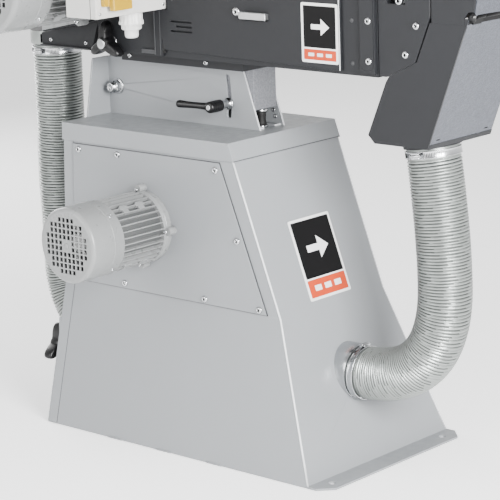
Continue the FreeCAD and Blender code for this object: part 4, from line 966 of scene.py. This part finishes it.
def moving_trims():
    """Caps of the flap's pin, knobs of the work rest, and the far door's knob."""
    mesh = Mesh("black", "zinc")
    cap = ((8.6, 0), (8.8, 0.4), (8.8, 2.2), (4.6, 2.6), (4.6, 3.6), (3.4, 4.2))
    for y, way in ((-88.2, -Y), (88.2, Y)):
        mesh.lathe((FLAP_PIN_X, y, FLAP_PIN_Z), way, cap, "black", 28)
    mesh.done("flap_pin_caps", "chute_flap")
    mesh = Mesh("black", "zinc")
    for y, way in ((-91.6, -Y), (91.6, Y)):
        r, scale = (15.5, 1.0) if y < 0 else (12.5, 0.42)
        place = frame_on(Vector((668, y, 915)), way)
        rings = []
        for share, h in ((0.7, 0), (0.86, 1.0), (0.96, 5), (1.0, 8), (1.0, 17), (0.9, 20), (0.6, 21.2)):
            ring = []
            for t in turns(48):
                rr = r * share * (1 - 0.10 * (0.5 + 0.5 * math.cos(6 * t)) * (share > 0.9))
                ring.append(place @ Vector((rr * math.cos(t), rr * math.sin(t), h * scale)))
            rings.append(ring)
        mesh.loft(rings, "black")
        if y < 0:
            mesh.lathe((668, y - 21, 915), way, ((5, 0), (5, 1.2), (4.2, 1.8)), "zinc", 24)
    mesh.done("rest_knobs", "work_rest")
    mesh = Mesh("black", "zinc")
    mesh.lathe((395, 111, 870), Y,
               ((12, 0), (16.5, 2), (17.0, 6), (16.2, 10), (12, 12.2), (5, 12.8)), "black", 48)
    mesh.lathe((395, 99, 870), Y, ((9.4, 0), (9.4, 12.4)), "zinc", 32)
    mesh.lathe((395, 123.4, 870), Y, ((4.6, 0), (4.6, 0.9), (4.0, 1.4)), "zinc", 24)
    mesh.done("door_knob", "far_door")


cover_trims()
chute_trims()
moving_trims()


# ---- second finishes on CAD nodes ----
def second_finish(node, key, test):
    """Gives the faces that pass the test the node's second finish."""
    data = NODES[node].data
    data.materials.append(M[key])
    index = len(data.materials) - 1
    for face in data.polygons:
        if test(face.center / MM, face.normal):
            face.material_index = index


def off_axis(c, x, z):
    """Distance of a point from an axis along Y."""
    return math.hypot(c.x - x, c.z - z)


second_finish("chute_flap", "ink", lambda c, n: off_axis(c, FLAP_PIN_X, FLAP_PIN_Z) < 4.6)
second_finish("rest_arms", "ink", lambda c, n: abs(c.y) < 87 and off_axis(c, 622, 846) < 16)
second_finish("rear_hopper", "duct",
              lambda c, n: abs(n.z) < 0.3 and abs(math.hypot(c.x + 478, c.y) - 53) < 0.6)
# painted shade: faces near the core of both motor housings, between the fins, take the darker enamel
second_finish("fan_motor_housing", "motor_painted_shade", lambda c, n: off_axis(c, FAN_X, FAN_Z) < 63.5)
second_finish("drive_motor_housing", "motor_painted_shade", lambda c, n: off_axis(c, DRIVE_X, DRIVE_Z) < 82.5)
second_finish("spark_chute", "hammer", lambda c, n: n.x > 0.6 and c.x > 530)
second_finish("head_keel", "dark", lambda c, n: c.z > 716.5)
second_finish("contact_tyre", "rubber", lambda c, n: abs(n.y) > 0.9)
# painted highlight: faces of the cradle plates that point forward take the light coat
second_finish("cradle_plates", "edge", lambda c, n: n.x > 0.7 and c.x > 48)


# ---- studio: name, place and aim in metres, size, power of each light ----
LIGHTS = (
    ("key", (2.6, -1.1, 1.3), (0.1, 0, 0.55), 1.2, 290),
    ("fill", (-1.0, -3.4, 1.6), (0, 0, 0.5), 2.0, 105),
    ("rear", (-3.2, 0.8, 1.6), (0, 0, 0.6), 1.8, 100),
    ("top", (0.2, -0.2, 4.0), (0, 0, 0.4), 2.4, 40),
)


def studio():
    """White surroundings that are brightest low down, a light floor and four soft lights."""
    world = bpy.data.worlds.new("studio")
    bpy.context.scene.world = world
    world.use_nodes = True
    world.node_tree.nodes["Background"].inputs["Color"].default_value = (1, 1, 1, 1)
    tree = world.node_tree
    coord = tree.nodes.new("ShaderNodeTexCoord")
    split = tree.nodes.new("ShaderNodeSeparateXYZ")
    ramp = tree.nodes.new("ShaderNodeMapRange")
    for key, value in (("From Min", 0.0), ("From Max", 0.8), ("To Min", 1.7), ("To Max", 0.6)):
        ramp.inputs[key].default_value = value
    tree.links.new(coord.outputs["Generated"], split.inputs["Vector"])
    tree.links.new(split.outputs["Z"], ramp.inputs["Value"])
    tree.links.new(ramp.outputs["Result"], tree.nodes["Background"].inputs["Strength"])
    bm = bmesh.new()
    bmesh.ops.create_grid(bm, x_segments=1, y_segments=1, size=30)
    data = bpy.data.meshes.new("floor")
    bm.to_mesh(data)
    bm.free()
    floor = bpy.data.objects.new("floor", data)
    floor.location.z = -0.0005
    p = Paint("floor_paint")
    p.set(Base_Color=p.ramp(p.noise(2, 2), [(0.3, (0.90, 0.90, 0.90)), (0.7, (0.92, 0.92, 0.92))]))
    p.set(Roughness=0.9)
    p.set(Emission_Color=(1, 1, 1, 1), Emission_Strength=0.65)
    data.materials.append(p.mat)
    bpy.context.scene.collection.objects.link(floor)
    for name, place, aim, size, power in LIGHTS:
        light = bpy.data.lights.new(name, "AREA")
        light.size = size
        light.energy = power
        obj = bpy.data.objects.new(name, light)
        obj.location = place
        obj.rotation_euler = (Vector(aim) - Vector(place)).to_track_quat("-Z", "Y").to_euler()
        bpy.context.scene.collection.objects.link(obj)


studio()
